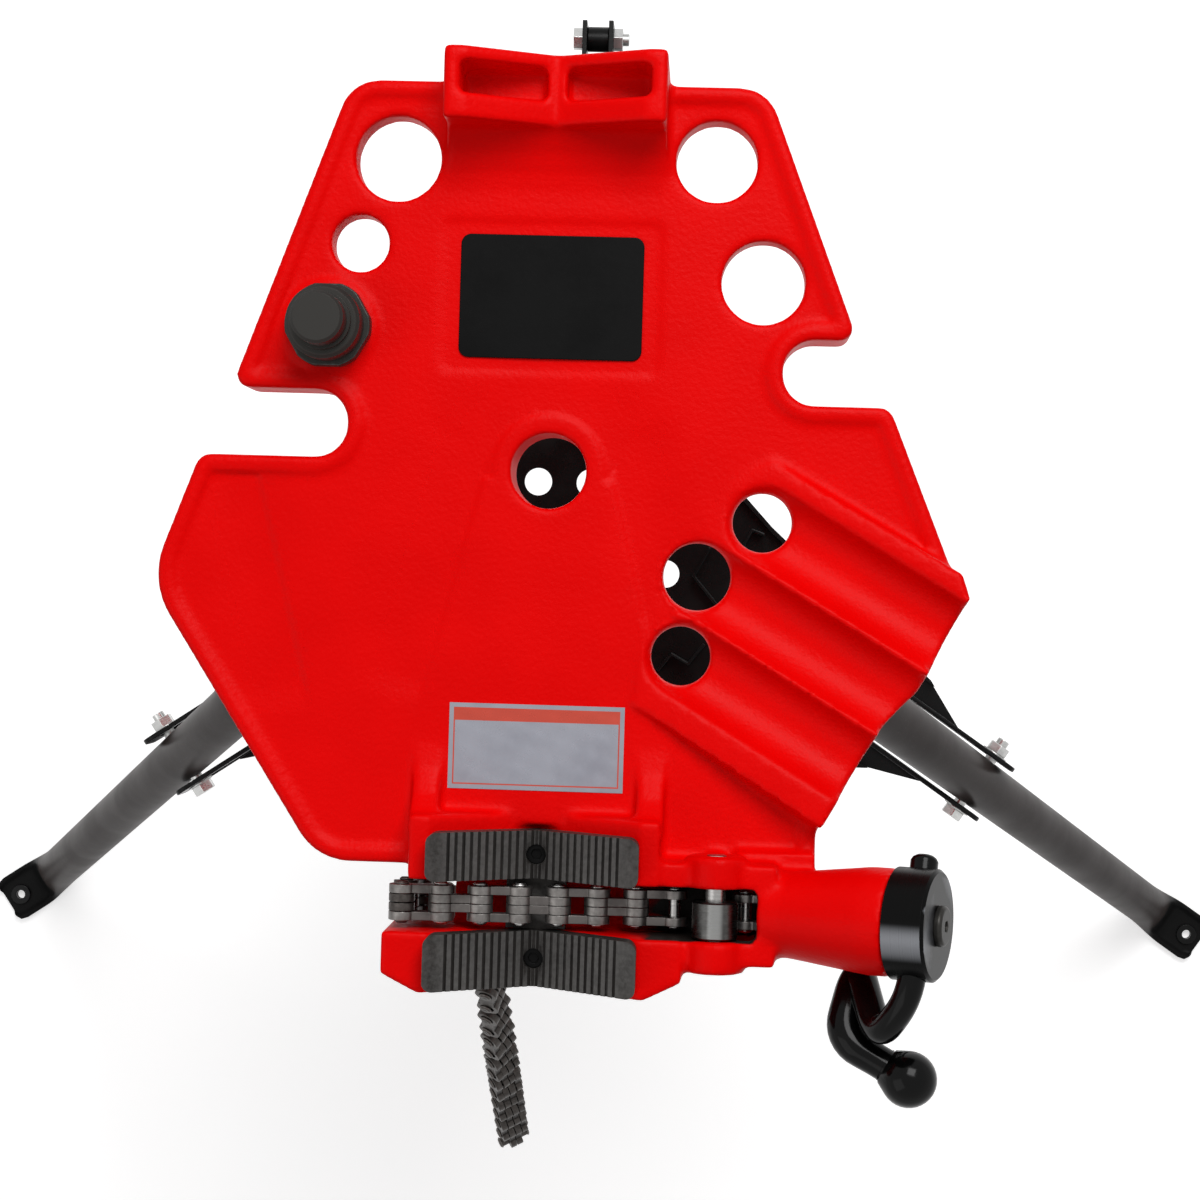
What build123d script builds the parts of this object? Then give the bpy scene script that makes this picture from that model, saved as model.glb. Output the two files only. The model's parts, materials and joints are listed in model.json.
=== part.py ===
"""Tripod pipe vise stand: a cast table with a chain vise, a ceiling screw, three folding legs and a tray.

Sizes are millimetres. The model is laid out about the hub axis (X to the right, Y to the rear, Z up from the
floor) and shifted along Y at the end, so that the origin is under the middle of the whole stand.
"""
import os
from math import cos, radians, sin, tan

from build123d import *

# Table casting
TABLE_H = 860.0             # floor to the rim of the table
SKIRT = 40.0                # depth of the wall round the edge
WALL = 7.0                  # thickness of that wall
DECK = 8.0                  # thickness of the deck
RIM_W = 7.0                 # width of the raised rim
RIM_RISE = 2.5              # rim above the deck
REAR_Y = 194.0              # rear edge from the hub
REAR_HALF = 104.5           # half width at the rear edge
FRONT_Y = -199.0            # front edge of the deck
HUB_D = 38.0
HUB_BOSS_D = 60.0
HUB_DEPTH = 48.0
TOOL_BOSS_WALL = 6.0
TOOL_DEPTH = 24.0
TOOL_HOLES = [(-80.0, 155.0, 43.0), (-98.0, 112.0, 29.0), (80.0, 157.0, 41.0), (105.0, 97.0, 42.0)]

# Pipe bending grooves on the right of the table
BEND_ANGLE = -30.5          # direction of the grooves in plan, degrees
BEND_RISE = 16.0            # ridges above the rim at the outer edge
BEND_NEAR = 80.0            # where the ridges start, along the grooves from the hub
BEND_FAR = 205.0            # outer edge, along the grooves
BEND_GROOVE_D = 42.0        # rounding of the grooves
BEND_GROOVE_LIFT = 8.0      # groove axis above the ridges
BEND_UNDER = 9.0            # thickening below the deck
BEND_HOLES = [(108.0, -23.0, 30.0), (76.0, -51.0, 34.0), (69.0, -91.0, 30.0)]

# Pipe rest at the rear
REST_HALF = 55.0
REST_FRONT = 170.0
REST_REAR = 206.0
REST_RISE = 34.0
REST_VALLEY = 12.0
REST_RAMP = 30.0            # length of the ramp in front of the rest

# Plates on the deck
NAME_PLATE = (92.0, 62.0, 1.2)
NAME_AT = (-1.0, 87.0)
NAME_MARGIN = (10.0, 8.0)   # recess beyond the name plate
NAME_SINK = 1.0             # recess below the deck
LABEL_PLATE = (88.0, 43.0, 0.6)
LABEL_AT = (-2.0, -139.0)

# Jaws: a V of two toothed plates, with the chain channel between them
CHAIN_Y = -217.0            # middle of the chain channel
CHANNEL_W = 26.0
JAW_HALF = 52.0             # half length of a jaw
JAW_RISE = 38.0             # ends of the V above its middle
JAW_MID_Z = 2.0             # middle of the V above the rim
JAW_T = 14.0
REAR_JAW_W = 24.0
FRONT_JAW_W = 28.0
JAW_PROUD = 2.0             # jaw behind the face of its seat
NECK_HALF = 15.0
NECK_DROP = 7.5             # neck below the middle of the V
NECK_T = 10.0
NECK_SPLIT = 0.2            # half the gap between the two jaws' necks
FLOOR_LEFT = -42.0          # left end of the channel floor
FLOOR_SLOPE = 9.0           # that end undercut, clear of the hanging chain
TOOTH_PITCH = 3.6
JAW_PAD = 7.5               # smooth ends of a jaw
TOOTH_DEPTH = 1.2
JAW_SCREW_D = 6.0
JAW_SCREW_L = 30.0
JAW_SCREW_HEAD = 10.0
SEAT_WALL = 10.0            # casting beyond the ends of the rear jaw
LUG_HALF = 74.0             # half length of the front lug
BUTTRESS_REAR = -138.0      # rear end of the ramps beside the label
LUG_CHAMFER = (18.0, 9.0)   # corners cut off the front lug
PIN_BOSS_D = 30.0
PIN_BOSS_L = 4.0
JAW_CORNER = 5.0
VISE_BOTTOM = -42.0         # underside of the vise body from the rim

# Chain roller
ROLLER_X = 90.0
ROLLER_Z = 16.0             # roller axis above the rim
ROLLER_D = 25.0
ROLLER_PIN_D = 10.0
RUN_GAP = 0.05              # radial clearance of a running fit
SIDE_GAP = 0.6              # clearance beside a moving piece
BLOCK_WALL = 12.0           # walls beside the roller

# Screw housing, crank and draw screw on the inclined axis
SCREW_TILT = 21.0
BARREL_D = 53.0
BARREL_END = 87.0           # along the axis from the point under the roller
BARREL_NECK_D = 43.0        # barrel beside the roller block
BARREL_FLARE = (33.0, 74.0)  # where the barrel widens, along the axis
BORE_D = 34.0
CAP_D = 55.0
CAP_L = 21.0
CAP_GAP = 0.4
SLEEVE_L = 22.0
SCREW_D = 16.0
SCREW_L = 36.0
SCREW_TRAVEL = 12.0
CAP_SCREW_D = 8.0
CAP_SCREW_L = 3.0
SCREW_LEAD = 4.0
CRANK_ROD = 14.0
CRANK_BALL = 28.0

# Leaf chain
CHAIN_PITCH = 19.5
PLATE_H = 13.0
PLATE_WAIST = 8.0
PLATE_T = 4.3
PLATE_STEP = 4.5            # plate to plate across the chain
PIN_PROUD = 1.7             # pin beyond the outer plates
CHAIN_PIN_D = 6.0
CHAIN_LEFT_X = -66.0        # left end of the span across the jaws
TAIL_LINKS = 25
TAIL_LEAN = 29.4            # lean of the tail to the front, degrees
TAIL_TURN = 4.2             # most that one link of the tail leans beyond the last, degrees
TAIL_DRIFT = 0.27           # drift of the tail's first links to the right, per unit of drop
TAIL_DRIFT_LINKS = (1, 7)   # links that drift
TAIL_HOLE = 1.7             # play of the tail's pins in their plates
TAIL_PLATE_T = 3.9
TAIL_TWIST = 5.0            # turn of one link of the tail beyond the last about its length, degrees
TAIL_TWIST_LINKS = (8, 20)  # links that turn

# Ceiling screw
CEILING_AT = (-112.0, 69.5)
CEILING_D = 20.0
CEILING_LIFT = 100.0
CEILING_LEAD = 5.0
CEILING_BOSS_D = 46.0
CEILING_BOSS_L = 46.0
CEILING_FLANGE_D = 37.0
CEILING_FLANGE_H = 18.0
CEILING_STEP_D = 29.0
CEILING_STEP_H = 4.0
CEILING_TOP_D = 26.0
CEILING_TOP_H = 16.0
JAM_NUT_AF = 41.0
JAM_NUT_D = 43.0            # rounding of the nut's corners
JAM_NUT_H = 9.0

# Legs
HINGE_DROP = 60.0           # rim of the table to the leg hinges
FRONT_HINGE_R = 133.0
REAR_HINGE_R = 175.0
FRONT_AZIMUTH = -34.0       # right front leg in plan
FRONT_SPLAY = 27.2
REAR_SPLAY = 11.0
FRONT_FOLD = 21.0
REAR_FOLD = 8.0
LEG_D = 32.0
LEG_WALL = 2.5
EYE_T = 16.0
EYE_D = 32.0
EYE_GAP = 0.5
LEG_START = 42.0            # hinge to the end of the tube
PLUG_L = 28.0
LUG_T = 9.0
PIVOT_D = 12.0
HEX_H = 7.0
FOOT_W = 38.0
FOOT_BACK = 24.0
FOOT_FRONT = 40.0
FOOT_T = 4.0
FOOT_LIP = 9.0
FOOT_SOCKET_L = 34.0
FOOT_SOCKET_T = 1.5
FOOT_HOLE = 7.0
FOOT_HOLE_IN = 12.0         # hole from the front of the foot
FOOT_DISC_D = 16.0
FOOT_DISC_T = 2.5

# Tray
BOLT_DROP = 345.0           # hinges to the leg bolts
BOLT_D = 8.0
BOLT_AF = 13.0
BOLT_HEAD_H = 6.0
RAIL_T = 3.0
RAIL_GAP = 2.0              # leg tube to a rail, each side
RAIL_H = 37.0
RAIL_START_R = 150.0
RAIL_END_MARGIN = 15.0      # rail beyond the bolt
SLOT_H = 25.0
SLOT_MARGIN = 2.0
BOLT_ROOM = 13.0            # rim left out beside the rails, for the bolt heads
TRAY_T = 2.5
TRAY_RIM = 13.0
TRAY_HOLE_D = 18.0
TRAY_HOLE_STEP = 34.0
TRAY_HOLES = 5
REAR_TIE_HALF = 7.0
REAR_BEND_CLEAR = 10.2      # rear leg to the bend in its straps
TIE_PAST_BEND = 17.0        # end of that bend to the tie bolt
STRAP_INSET = 6.0           # straps within the height of the rails
REAR_RAIL_START = 106.0
STRAP_END = 10.0            # straps beyond the tie bolt
TRAY_ARM_R = 283.0          # end of the tray's arms beside the front legs
TRAY_ARM_GAP = 0.5
TRAY_TAIL_GAP = 0.02        # tongue to a strap
TRAY_SHOULDER = (250.0, 36.0)
TRAY_FRONT = (188.0, -168.0)
TRAY_WAIST = [(122.0, -14.0), (48.0, 66.0)]
TRAY_TAIL = (104.0, 150.0)  # start and end of the tongue between the rear straps
FAR = 2000.0                # beyond every piece, for cuts that go through

# Working values
DECK_Z = TABLE_H - RIM_RISE
HINGE_Z = TABLE_H - HINGE_DROP
BOLT_Z = HINGE_Z - BOLT_DROP
SKIRT_Z = TABLE_H - SKIRT
TILT = radians(SCREW_TILT)
ROLLER_AXIS_Z = TABLE_H + ROLLER_Z
CHAIN_UNDER = ROLLER_D / 2 + PLATE_H / 2 + SIDE_GAP
DRAW_START = Vector(
    ROLLER_X + CHAIN_UNDER * sin(TILT), CHAIN_Y, ROLLER_AXIS_Z - CHAIN_UNDER * cos(TILT))
DRAW_DIR = Vector(cos(TILT), 0, sin(TILT))
SPAN_RIGHT = Vector(ROLLER_X - 18.0, CHAIN_Y, ROLLER_AXIS_Z - CHAIN_UNDER - 0.5)
NECK_Z = TABLE_H + JAW_MID_Z - NECK_DROP
SPAN_LEFT = Vector(CHAIN_LEFT_X, CHAIN_Y, TABLE_H + 9.0)
LEG_DROP = HINGE_Z - BOLT_Z
RAIL_IN = LEG_D / 2 + RAIL_GAP
RAIL_OUT = RAIL_IN + RAIL_T
RAIL_Z = BOLT_Z - RAIL_H / 2
STRAP_Z = RAIL_Z + STRAP_INSET
REAR_LEAN = radians(REAR_SPLAY)
REAR_LEG_OUT = REAR_HINGE_R + (HINGE_Z - STRAP_Z) * tan(REAR_LEAN) + LEG_D / 2 / cos(REAR_LEAN)
REAR_RAIL_BEND_R = REAR_LEG_OUT + REAR_BEND_CLEAR
REAR_TIE_R = REAR_RAIL_BEND_R + RAIL_IN - REAR_TIE_HALF + TIE_PAST_BEND
FRONT_BOLT_R = FRONT_HINGE_R + LEG_DROP * tan(radians(FRONT_SPLAY))
FRONT_BOLT_L = LEG_DROP / cos(radians(FRONT_SPLAY))
TRAY_DROP = FRONT_BOLT_L * cos(radians(FRONT_SPLAY - FRONT_FOLD)) - LEG_DROP
LEGS = {
    "left": (180.0 - FRONT_AZIMUTH, FRONT_HINGE_R, FRONT_SPLAY),
    "right": (FRONT_AZIMUTH, FRONT_HINGE_R, FRONT_SPLAY),
    "rear": (90.0, REAR_HINGE_R, REAR_SPLAY),
}


def rod(start, end, diameter):
    """A round bar from one point to another."""
    run = Vector(*end) - Vector(*start)
    plane = Plane(origin=Vector(*start), z_dir=run)
    return plane * Cylinder(diameter / 2, run.length, align=(Align.CENTER, Align.CENTER, Align.MIN))


def block(x0, x1, y0, y1, z0, z1):
    """A box between two corners."""
    middle = ((x0 + x1) / 2, (y0 + y1) / 2, (z0 + z1) / 2)
    return Pos(*middle) * Box(x1 - x0, y1 - y0, z1 - z0)


def prism(points, z0, z1, radius=None):
    """A plate of a plan outline between two heights, with rounded corners where a radius list is given."""
    if radius is None:
        line = Polyline(*points, close=True)
    else:
        line = FilletPolyline(*points, radius=radius, close=True)
    return Pos(0, 0, z0) * extrude(make_face(line), z1 - z0)


def across(points, y0, y1):
    """A solid of an XZ outline that runs along Y."""
    outline = make_face(Polyline(*[(x, 0, z) for x, z in points], close=True))
    return Pos(0, y0, 0) * extrude(outline, y1 - y0, dir=(0, 1, 0))


def drill(x, y, diameter, z0, z1):
    """An upright round bar, for a hole or a boss."""
    return Pos(x, y, z0) * Cylinder(diameter / 2, z1 - z0, align=(Align.CENTER, Align.CENTER, Align.MIN))


def hexagon(plane, flats, height):
    """A hex head or nut standing on a plane."""
    return plane * extrude(RegularPolygon(flats / 2, 6, major_radius=False), height)


# Casting
OUTLINE = [
    (-REAR_HALF, REAR_Y, 20), (-161, 38, 6), (-101.7, 38, 16.4), (-101.7, 4, 16.4), (-176, 4, 8),
    (-200, -61, 40), (-111, FRONT_Y, 30), (139, FRONT_Y, 8), (139, -176, 8), (170, -122, 10),
    (187, -104, 14), (212, -56, 10), (202, -42, 8), (170, 36, 8), (116, 36, 15.8), (116, 69, 15.8),
    (153, 69, 6), (REAR_HALF, REAR_Y, 20),
]


def table_shell():
    """The deck with its rim and skirt, hollow underneath."""
    points = [(x, y) for x, y, r in OUTLINE]
    radius = [r for x, y, r in OUTLINE]
    face = make_face(FilletPolyline(*points, radius=radius, close=True))
    shell = Pos(0, 0, SKIRT_Z) * extrude(face, SKIRT)
    shell -= Pos(0, 0, DECK_Z) * extrude(offset(face, -RIM_W), RIM_RISE)
    shell -= Pos(0, 0, SKIRT_Z) * extrude(offset(face, -WALL), SKIRT - RIM_RISE - DECK)
    return shell


def bend_top(along):
    """Height of the ridges at a distance along the grooves."""
    return DECK_Z + (BEND_RISE + RIM_RISE) * (along - BEND_NEAR) / (BEND_FAR - BEND_NEAR)


def bend_block():
    """The ridges that the pipe bending grooves run between, rising from the deck to the outer edge."""
    edge = [(112, 8), (207, -46), (211, -58), (187, -105), (170, -123), (141, -174), (46, -116), (56, -28)]
    ridges = prism(edge, DECK_Z - DECK - BEND_UNDER, TABLE_H + 2 * BEND_RISE)
    reach = 300.0
    low = (0, bend_top(0))
    high = (reach, bend_top(reach))
    above = across([low, high, (reach, TABLE_H + 200), (0, TABLE_H + 200)], -reach, reach)
    return ridges - Rot(0, 0, BEND_ANGLE) * above


def bend_cuts():
    """A round groove from each bending hole to the edge, and the hole itself."""
    reach = 190.0
    angle = radians(BEND_ANGLE)
    cuts = []
    for x, y, diameter in BEND_HOLES:
        along = x * cos(angle) + y * sin(angle)
        start = (x, y, bend_top(along) + BEND_GROOVE_LIFT)
        end = (x + reach * cos(angle), y + reach * sin(angle), bend_top(along + reach) + BEND_GROOVE_LIFT)
        groove = rod(start, end, BEND_GROOVE_D) + Pos(*start) * Sphere(BEND_GROOVE_D / 2)
        cuts.append(groove + drill(x, y, diameter, SKIRT_Z, TABLE_H + 3 * BEND_RISE))
    return cuts


def ramp_block(x0, x1, y_low, y_high, top, low=0.0):
    """A hollow-curved ramp between two X that rises along Y from the deck to a height above the rim."""
    rows = [(0.0, 0.0), (0.3, 0.08), (0.6, 0.3), (0.85, 0.66), (1.0, 1.0)]
    foot = DECK_Z - DECK / 2
    line = [(y_low + (y_high - y_low) * along, DECK_Z + low + (TABLE_H + top - DECK_Z - low) * rise)
            for along, rise in rows]
    line = [(y_low, foot)] + line + [(y_high, foot)]
    outline = make_face(Polyline(*[(x0, y, z) for y, z in line], close=True))
    return extrude(outline, x1 - x0, dir=(1, 0, 0))


def pipe_rest():
    """The V saddle at the rear that carries the far end of a pipe."""
    high = TABLE_H + REST_RISE
    low = TABLE_H + REST_VALLEY
    shape = [(-REST_HALF, SKIRT_Z), (REST_HALF, SKIRT_Z), (REST_HALF, high), (REST_HALF - 10, high), (0, low),
             (10 - REST_HALF, high), (-REST_HALF, high)]
    rest = across(shape, REST_FRONT, REST_REAR)
    for side in (-1, 1):
        inner = sorted((side * 5, side * (REST_HALF - 8)))
        rest -= block(*inner, REST_FRONT + 13, REST_REAR - 7, TABLE_H + 2, high)
    rest -= block(8 - REST_HALF, REST_HALF - 8, REST_FRONT, REST_REAR - 7, SKIRT_Z, TABLE_H - DECK)
    return rest


def seat(half, y0, y1):
    """A casting seat under one jaw, V-shaped to carry it."""
    top = TABLE_H + JAW_MID_Z + JAW_RISE - JAW_T
    mid = TABLE_H + JAW_MID_Z - JAW_T
    slope = JAW_RISE / JAW_HALF
    inner = half - 4
    lip = mid + slope * JAW_HALF
    shape = [(-half, TABLE_H + VISE_BOTTOM), (half, TABLE_H + VISE_BOTTOM), (half, top), (inner, lip),
             (JAW_HALF, lip), (0, mid), (-JAW_HALF, lip), (-inner, lip), (-half, top)]
    return across(shape, y0, y1)


def jaw_room(y0, y1):
    """The space that a jaw and the pipe in it take up above a seat."""
    mid = TABLE_H + JAW_MID_Z - JAW_T
    lip = mid + JAW_RISE
    high = TABLE_H + 2 * JAW_RISE
    return across([(-JAW_HALF, lip), (0, mid), (JAW_HALF, lip), (JAW_HALF, high), (-JAW_HALF, high)], y0, y1)


def leg_lugs(azimuth, radius):
    """The pair of ears that a leg hinges between, in place under the deck."""
    ear = across([(-18, HINGE_Z), (18, HINGE_Z), (18, DECK_Z - 1), (-18, DECK_Z - 1)], 0, LUG_T)
    ear += Pos(0, LUG_T / 2, HINGE_Z) * Rot(90, 0, 0) * Cylinder(18, LUG_T)
    gap = EYE_T / 2 + EYE_GAP
    pair = Pos(radius, gap, 0) * ear + Pos(radius, -gap - LUG_T, 0) * ear
    pair -= Pos(radius, 0, HINGE_Z) * Rot(90, 0, 0) * Cylinder(PIVOT_D / 2, 60)
    return Rot(0, 0, azimuth) * pair


def vise_front():
    """The front of the casting: two jaw seats, the floor of the channel, the roller block and the barrel."""
    half_gap = CHANNEL_W / 2
    bottom = TABLE_H + VISE_BOTTOM
    rear = seat(JAW_HALF + SEAT_WALL, CHAIN_Y + half_gap, CHAIN_Y + half_gap + REAR_JAW_W + JAW_PROUD + 6)
    front = seat(LUG_HALF, CHAIN_Y - half_gap - FRONT_JAW_W - JAW_PROUD, CHAIN_Y - half_gap)
    floor_z = NECK_Z - NECK_T
    floor = across([(FLOOR_LEFT + FLOOR_SLOPE, bottom), (ROLLER_X + 30, bottom), (ROLLER_X + 30, floor_z),
                    (FLOOR_LEFT, floor_z)], CHAIN_Y - half_gap, CHAIN_Y + half_gap)
    wall = half_gap + BLOCK_WALL
    box = block(JAW_HALF + 8, ROLLER_X + 30, CHAIN_Y - wall, CHAIN_Y + wall, bottom, ROLLER_AXIS_Z + 8)
    flare_start, flare_end = BARREL_FLARE
    barrel = rod(axis_point(8), axis_point(flare_start), BARREL_NECK_D)
    flare = Cone(BARREL_NECK_D / 2, BARREL_D / 2, flare_end - flare_start,
                 align=(Align.CENTER, Align.CENTER, Align.MIN))
    barrel += Plane(origin=axis_point(flare_start), z_dir=DRAW_DIR) * flare
    barrel += rod(axis_point(flare_end), axis_point(BARREL_END), BARREL_D)
    web = prism([(100, FRONT_Y + 12), (139, FRONT_Y + 12), (139, CHAIN_Y - 8), (100, CHAIN_Y - 24)],
                SKIRT_Z, TABLE_H + 4)
    cut_x, cut_y = LUG_CHAMFER
    lug_front = CHAIN_Y - half_gap - FRONT_JAW_W - JAW_PROUD
    for side in (-1, 1):
        corner = [(side * (LUG_HALF - cut_x), lug_front), (side * LUG_HALF, lug_front + cut_y),
                  (side * (LUG_HALF + 9), lug_front + cut_y), (side * (LUG_HALF + 9), lug_front - 9),
                  (side * (LUG_HALF - cut_x), lug_front - 9)]
        front -= prism(corner, bottom - 1, TABLE_H + 90)
    boss_ends = [(ROLLER_X, CHAIN_Y + side * (wall + PIN_BOSS_L), ROLLER_AXIS_Z) for side in (-1, 1)]
    bosses = rod(*boss_ends, PIN_BOSS_D)
    body = rear + front + floor + box + barrel + web + bosses
    slot_z = NECK_Z - NECK_T
    body -= block(JAW_HALF - 2, ROLLER_X + 20, CHAIN_Y - half_gap, CHAIN_Y + half_gap, slot_z, TABLE_H + 90)
    body -= rod(DRAW_START - DRAW_DIR * 6, DRAW_START + DRAW_DIR * (BARREL_END + 30), BORE_D)
    body -= rod((ROLLER_X, CHAIN_Y - 60, ROLLER_AXIS_Z), (ROLLER_X, CHAIN_Y + 60, ROLLER_AXIS_Z), ROLLER_PIN_D)
    return body


def jaw_lines():
    """Inner and outer Y of the rear jaw and of the front jaw."""
    edge = CHANNEL_W / 2
    rear = (CHAIN_Y + edge, CHAIN_Y + edge + REAR_JAW_W)
    front = (CHAIN_Y - edge, CHAIN_Y - edge - FRONT_JAW_W)
    return rear, front


def table_casting():
    """The whole table with its bosses, holes, lugs and vise front."""
    casting = table_shell() + bend_block() + pipe_rest()
    casting += ramp_block(-REST_HALF, REST_HALF, REST_FRONT - REST_RAMP, REST_FRONT + 1, REST_VALLEY)
    for side in (-1, 1):
        edge = sorted((side * (JAW_HALF - 3), side * (JAW_HALF + SEAT_WALL + 1)))
        casting += ramp_block(
            *edge, BUTTRESS_REAR, CHAIN_Y + CHANNEL_W / 2 + REAR_JAW_W, JAW_RISE + JAW_MID_Z - JAW_T)
    casting += drill(0, 0, HUB_BOSS_D, TABLE_H - HUB_DEPTH, DECK_Z)
    casting += drill(*CEILING_AT, CEILING_BOSS_D, TABLE_H - CEILING_BOSS_L, TABLE_H)
    for x, y, diameter in TOOL_HOLES:
        casting += drill(x, y, diameter + 2 * TOOL_BOSS_WALL, TABLE_H - TOOL_DEPTH, DECK_Z)
    half_x, half_y = NAME_PLATE[0] / 2 + NAME_MARGIN[0], NAME_PLATE[1] / 2 + NAME_MARGIN[1]
    corners = [(NAME_AT[0] + x, NAME_AT[1] + y) for x, y in
               ((-half_x, -half_y), (half_x, -half_y), (half_x, half_y), (-half_x, half_y))]
    casting -= prism(corners, DECK_Z - NAME_SINK, TABLE_H, [6] * 4)
    for azimuth, radius, splay in LEGS.values():
        casting += leg_lugs(azimuth, radius)
    casting += vise_front()
    rear, front = jaw_lines()
    casting -= jaw_room(rear[0], rear[1] + JAW_PROUD)
    for line in jaw_lines():
        casting -= drill(0, sum(line) / 2, JAW_SCREW_D, TABLE_H + JAW_MID_Z - JAW_SCREW_L, TABLE_H)
    for cut in bend_cuts():
        casting -= cut
    casting -= drill(0, 0, HUB_D, SKIRT_Z - 20, TABLE_H + 1)
    casting -= drill(*CEILING_AT, CEILING_D + 2 * RUN_GAP, SKIRT_Z - 20, TABLE_H + 1)
    for x, y, diameter in TOOL_HOLES:
        casting -= drill(x, y, diameter, SKIRT_Z - 1, TABLE_H + 1)
    return casting


# Jaws
def jaw(y_inner, y_outer):
    """One toothed jaw plate with its half of the neck and a screw hole."""
    mid = TABLE_H + JAW_MID_Z
    shape = [(-JAW_HALF, mid + JAW_RISE), (0, mid), (JAW_HALF, mid + JAW_RISE),
             (JAW_HALF, mid + JAW_RISE - JAW_T), (0, mid - JAW_T), (-JAW_HALF, mid + JAW_RISE - JAW_T)]
    y0, y1 = sorted((y_inner, y_outer))
    plate = across(shape, y0, y1)
    plate = fillet(plate.edges().filter_by(Axis.Z), JAW_CORNER)
    middle = (y_inner + y_outer) / 2
    n0, n1 = sorted((y_inner, CHAIN_Y + (NECK_SPLIT if y_inner > CHAIN_Y else -NECK_SPLIT)))
    plate += block(-NECK_HALF, NECK_HALF, n0, n1, NECK_Z - NECK_T, NECK_Z)
    plate -= drill(0, middle, JAW_SCREW_D, TABLE_H - 40, TABLE_H + 60)
    plate -= drill(0, middle, JAW_SCREW_HEAD, mid - 5, TABLE_H + 60)
    slope = JAW_RISE / JAW_HALF
    count = int((JAW_HALF - JAW_PAD) / TOOTH_PITCH)
    for step in range(-count, count):
        x = (step + 0.5) * TOOTH_PITCH
        z = mid + abs(x) * slope
        groove = Rot(0, 45, 0) * Box(TOOTH_DEPTH * 1.6, y1 - y0 + 2, TOOTH_DEPTH * 1.6)
        plate -= Pos(x, (y0 + y1) / 2, z) * groove
    return plate


def jaw_screw(y):
    """A countersunk screw that holds a jaw to its seat."""
    mid = TABLE_H + JAW_MID_Z
    screw = drill(0, y, JAW_SCREW_D, mid - JAW_SCREW_L, mid - 5)
    screw += drill(0, y, JAW_SCREW_HEAD, mid - 5, mid - 1.5)
    return screw - hexagon(Plane(origin=(0, y, mid - 3.5)), 5.0, 3.0)


# Chain
def plate_2d(hole):
    """The side view of a waisted chain plate, with its two holes."""
    half = CHAIN_PITCH / 2
    outline = Pos(-half, 0) * Circle(PLATE_H / 2) + Pos(half, 0) * Circle(PLATE_H / 2)
    outline += Rectangle(CHAIN_PITCH, PLATE_WAIST)
    for side in (-half, half):
        outline -= Pos(side, 0) * Circle(hole / 2)
    return outline


def chain_run(points, first=0, play=0.0, thick=PLATE_T):
    """Plates and pins of a run of links through the given pin centres, with the pins along the given axes."""
    side = plate_2d(CHAIN_PIN_D + play)
    plates = []
    pins = []
    for index in range(len(points) - 1):
        (start, axis), (end, _) = points[index], points[index + 1]
        run = end - start
        plane = Plane(origin=(start + end) * 0.5, x_dir=run, z_dir=axis)
        outer = (index + first) % 2 == 0
        steps = (-1.5, 1.5) if outer else (-0.5, 0.5)
        for step in steps:
            plates.append(plane * Pos(0, 0, step * PLATE_STEP - thick / 2) * extrude(side, thick))
    half = 1.5 * PLATE_STEP + thick / 2 + PIN_PROUD
    for point, axis in points:
        pins.append(rod(point - axis * half, point + axis * half, CHAIN_PIN_D))
    return plates, pins


def straight_chain(start, direction, links, axis):
    """Pin centres of a straight run."""
    step = direction.normalized() * CHAIN_PITCH
    return [(start + step * i, axis) for i in range(links + 1)]


def tail_points():
    """Pin centres of the hanging end, which drops off the left of the channel and leans to the front."""
    point = SPAN_LEFT
    out = [(point, Vector(0, 1, 0))]
    for link in range(TAIL_LINKS):
        lean = radians(min(TAIL_LEAN, TAIL_TURN * link))
        drift = TAIL_DRIFT if TAIL_DRIFT_LINKS[0] <= link < TAIL_DRIFT_LINKS[1] else 0.0
        run = Vector(drift, -sin(lean), -cos(lean)).normalized()
        point = point + run * CHAIN_PITCH
        after = radians(min(TAIL_LEAN, TAIL_TURN * (link + 1)))
        turns = min(max(link + 1 - TAIL_TWIST_LINKS[0], 0), TAIL_TWIST_LINKS[1] - TAIL_TWIST_LINKS[0])
        twist = radians(TAIL_TWIST * turns)
        out.append((point, Vector(0, cos(after), -sin(after)) * cos(twist) + Vector(1, 0, 0) * sin(twist)))
    return out


# Crank and draw screw
def axis_point(along):
    """A point on the screw axis."""
    return DRAW_START + DRAW_DIR * along


def crank_cap():
    """The turning cap with the sleeve nut that runs in the barrel."""
    base = BARREL_END + CAP_GAP
    cap = rod(axis_point(base), axis_point(base + CAP_L), CAP_D)
    cap = chamfer(cap.faces().sort_by(Axis(axis_point(0), DRAW_DIR))[-1].edges(), 1.5)
    cap += rod(axis_point(base - SLEEVE_L), axis_point(base + 1), BORE_D - 2 * RUN_GAP)
    cap -= rod(axis_point(base - SLEEVE_L - 1), axis_point(base + CAP_L - 8), SCREW_D + 2 * RUN_GAP)
    middle = axis_point(base + CAP_L / 2)
    line = (crank_path()[1] - crank_path()[0]).normalized()
    cap -= rod(middle - line * 60, middle + line * 60, CRANK_ROD)
    cap -= rod(axis_point(base + CAP_L - CAP_SCREW_L), axis_point(base + CAP_L + 1), CAP_SCREW_D)
    return cap


def crank_path():
    """Corner points of the crank: through the cap to the front, back under the barrel, out to the ball."""
    middle = axis_point(BARREL_END + CAP_GAP + CAP_L / 2)
    steps = [(3.5, 33, -11), (-3.6, -33.8, 11.3), (-17, -57, -4),
             (-26, -27, -38), (-35, -60, -24), (-1, -78, -15)]
    return [middle + Vector(*step) for step in steps]


def crank_handle():
    """The bent bar of the crank with its ball end."""
    path = crank_path()
    line = FilletPolyline(*path, radius=[11, 9, 9, 11])
    start = Plane(origin=path[0], z_dir=path[1] - path[0])
    bar = sweep(start * Circle(CRANK_ROD / 2), path=line)
    return bar + Pos(*path[-1]) * Sphere(CRANK_BALL / 2)


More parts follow.
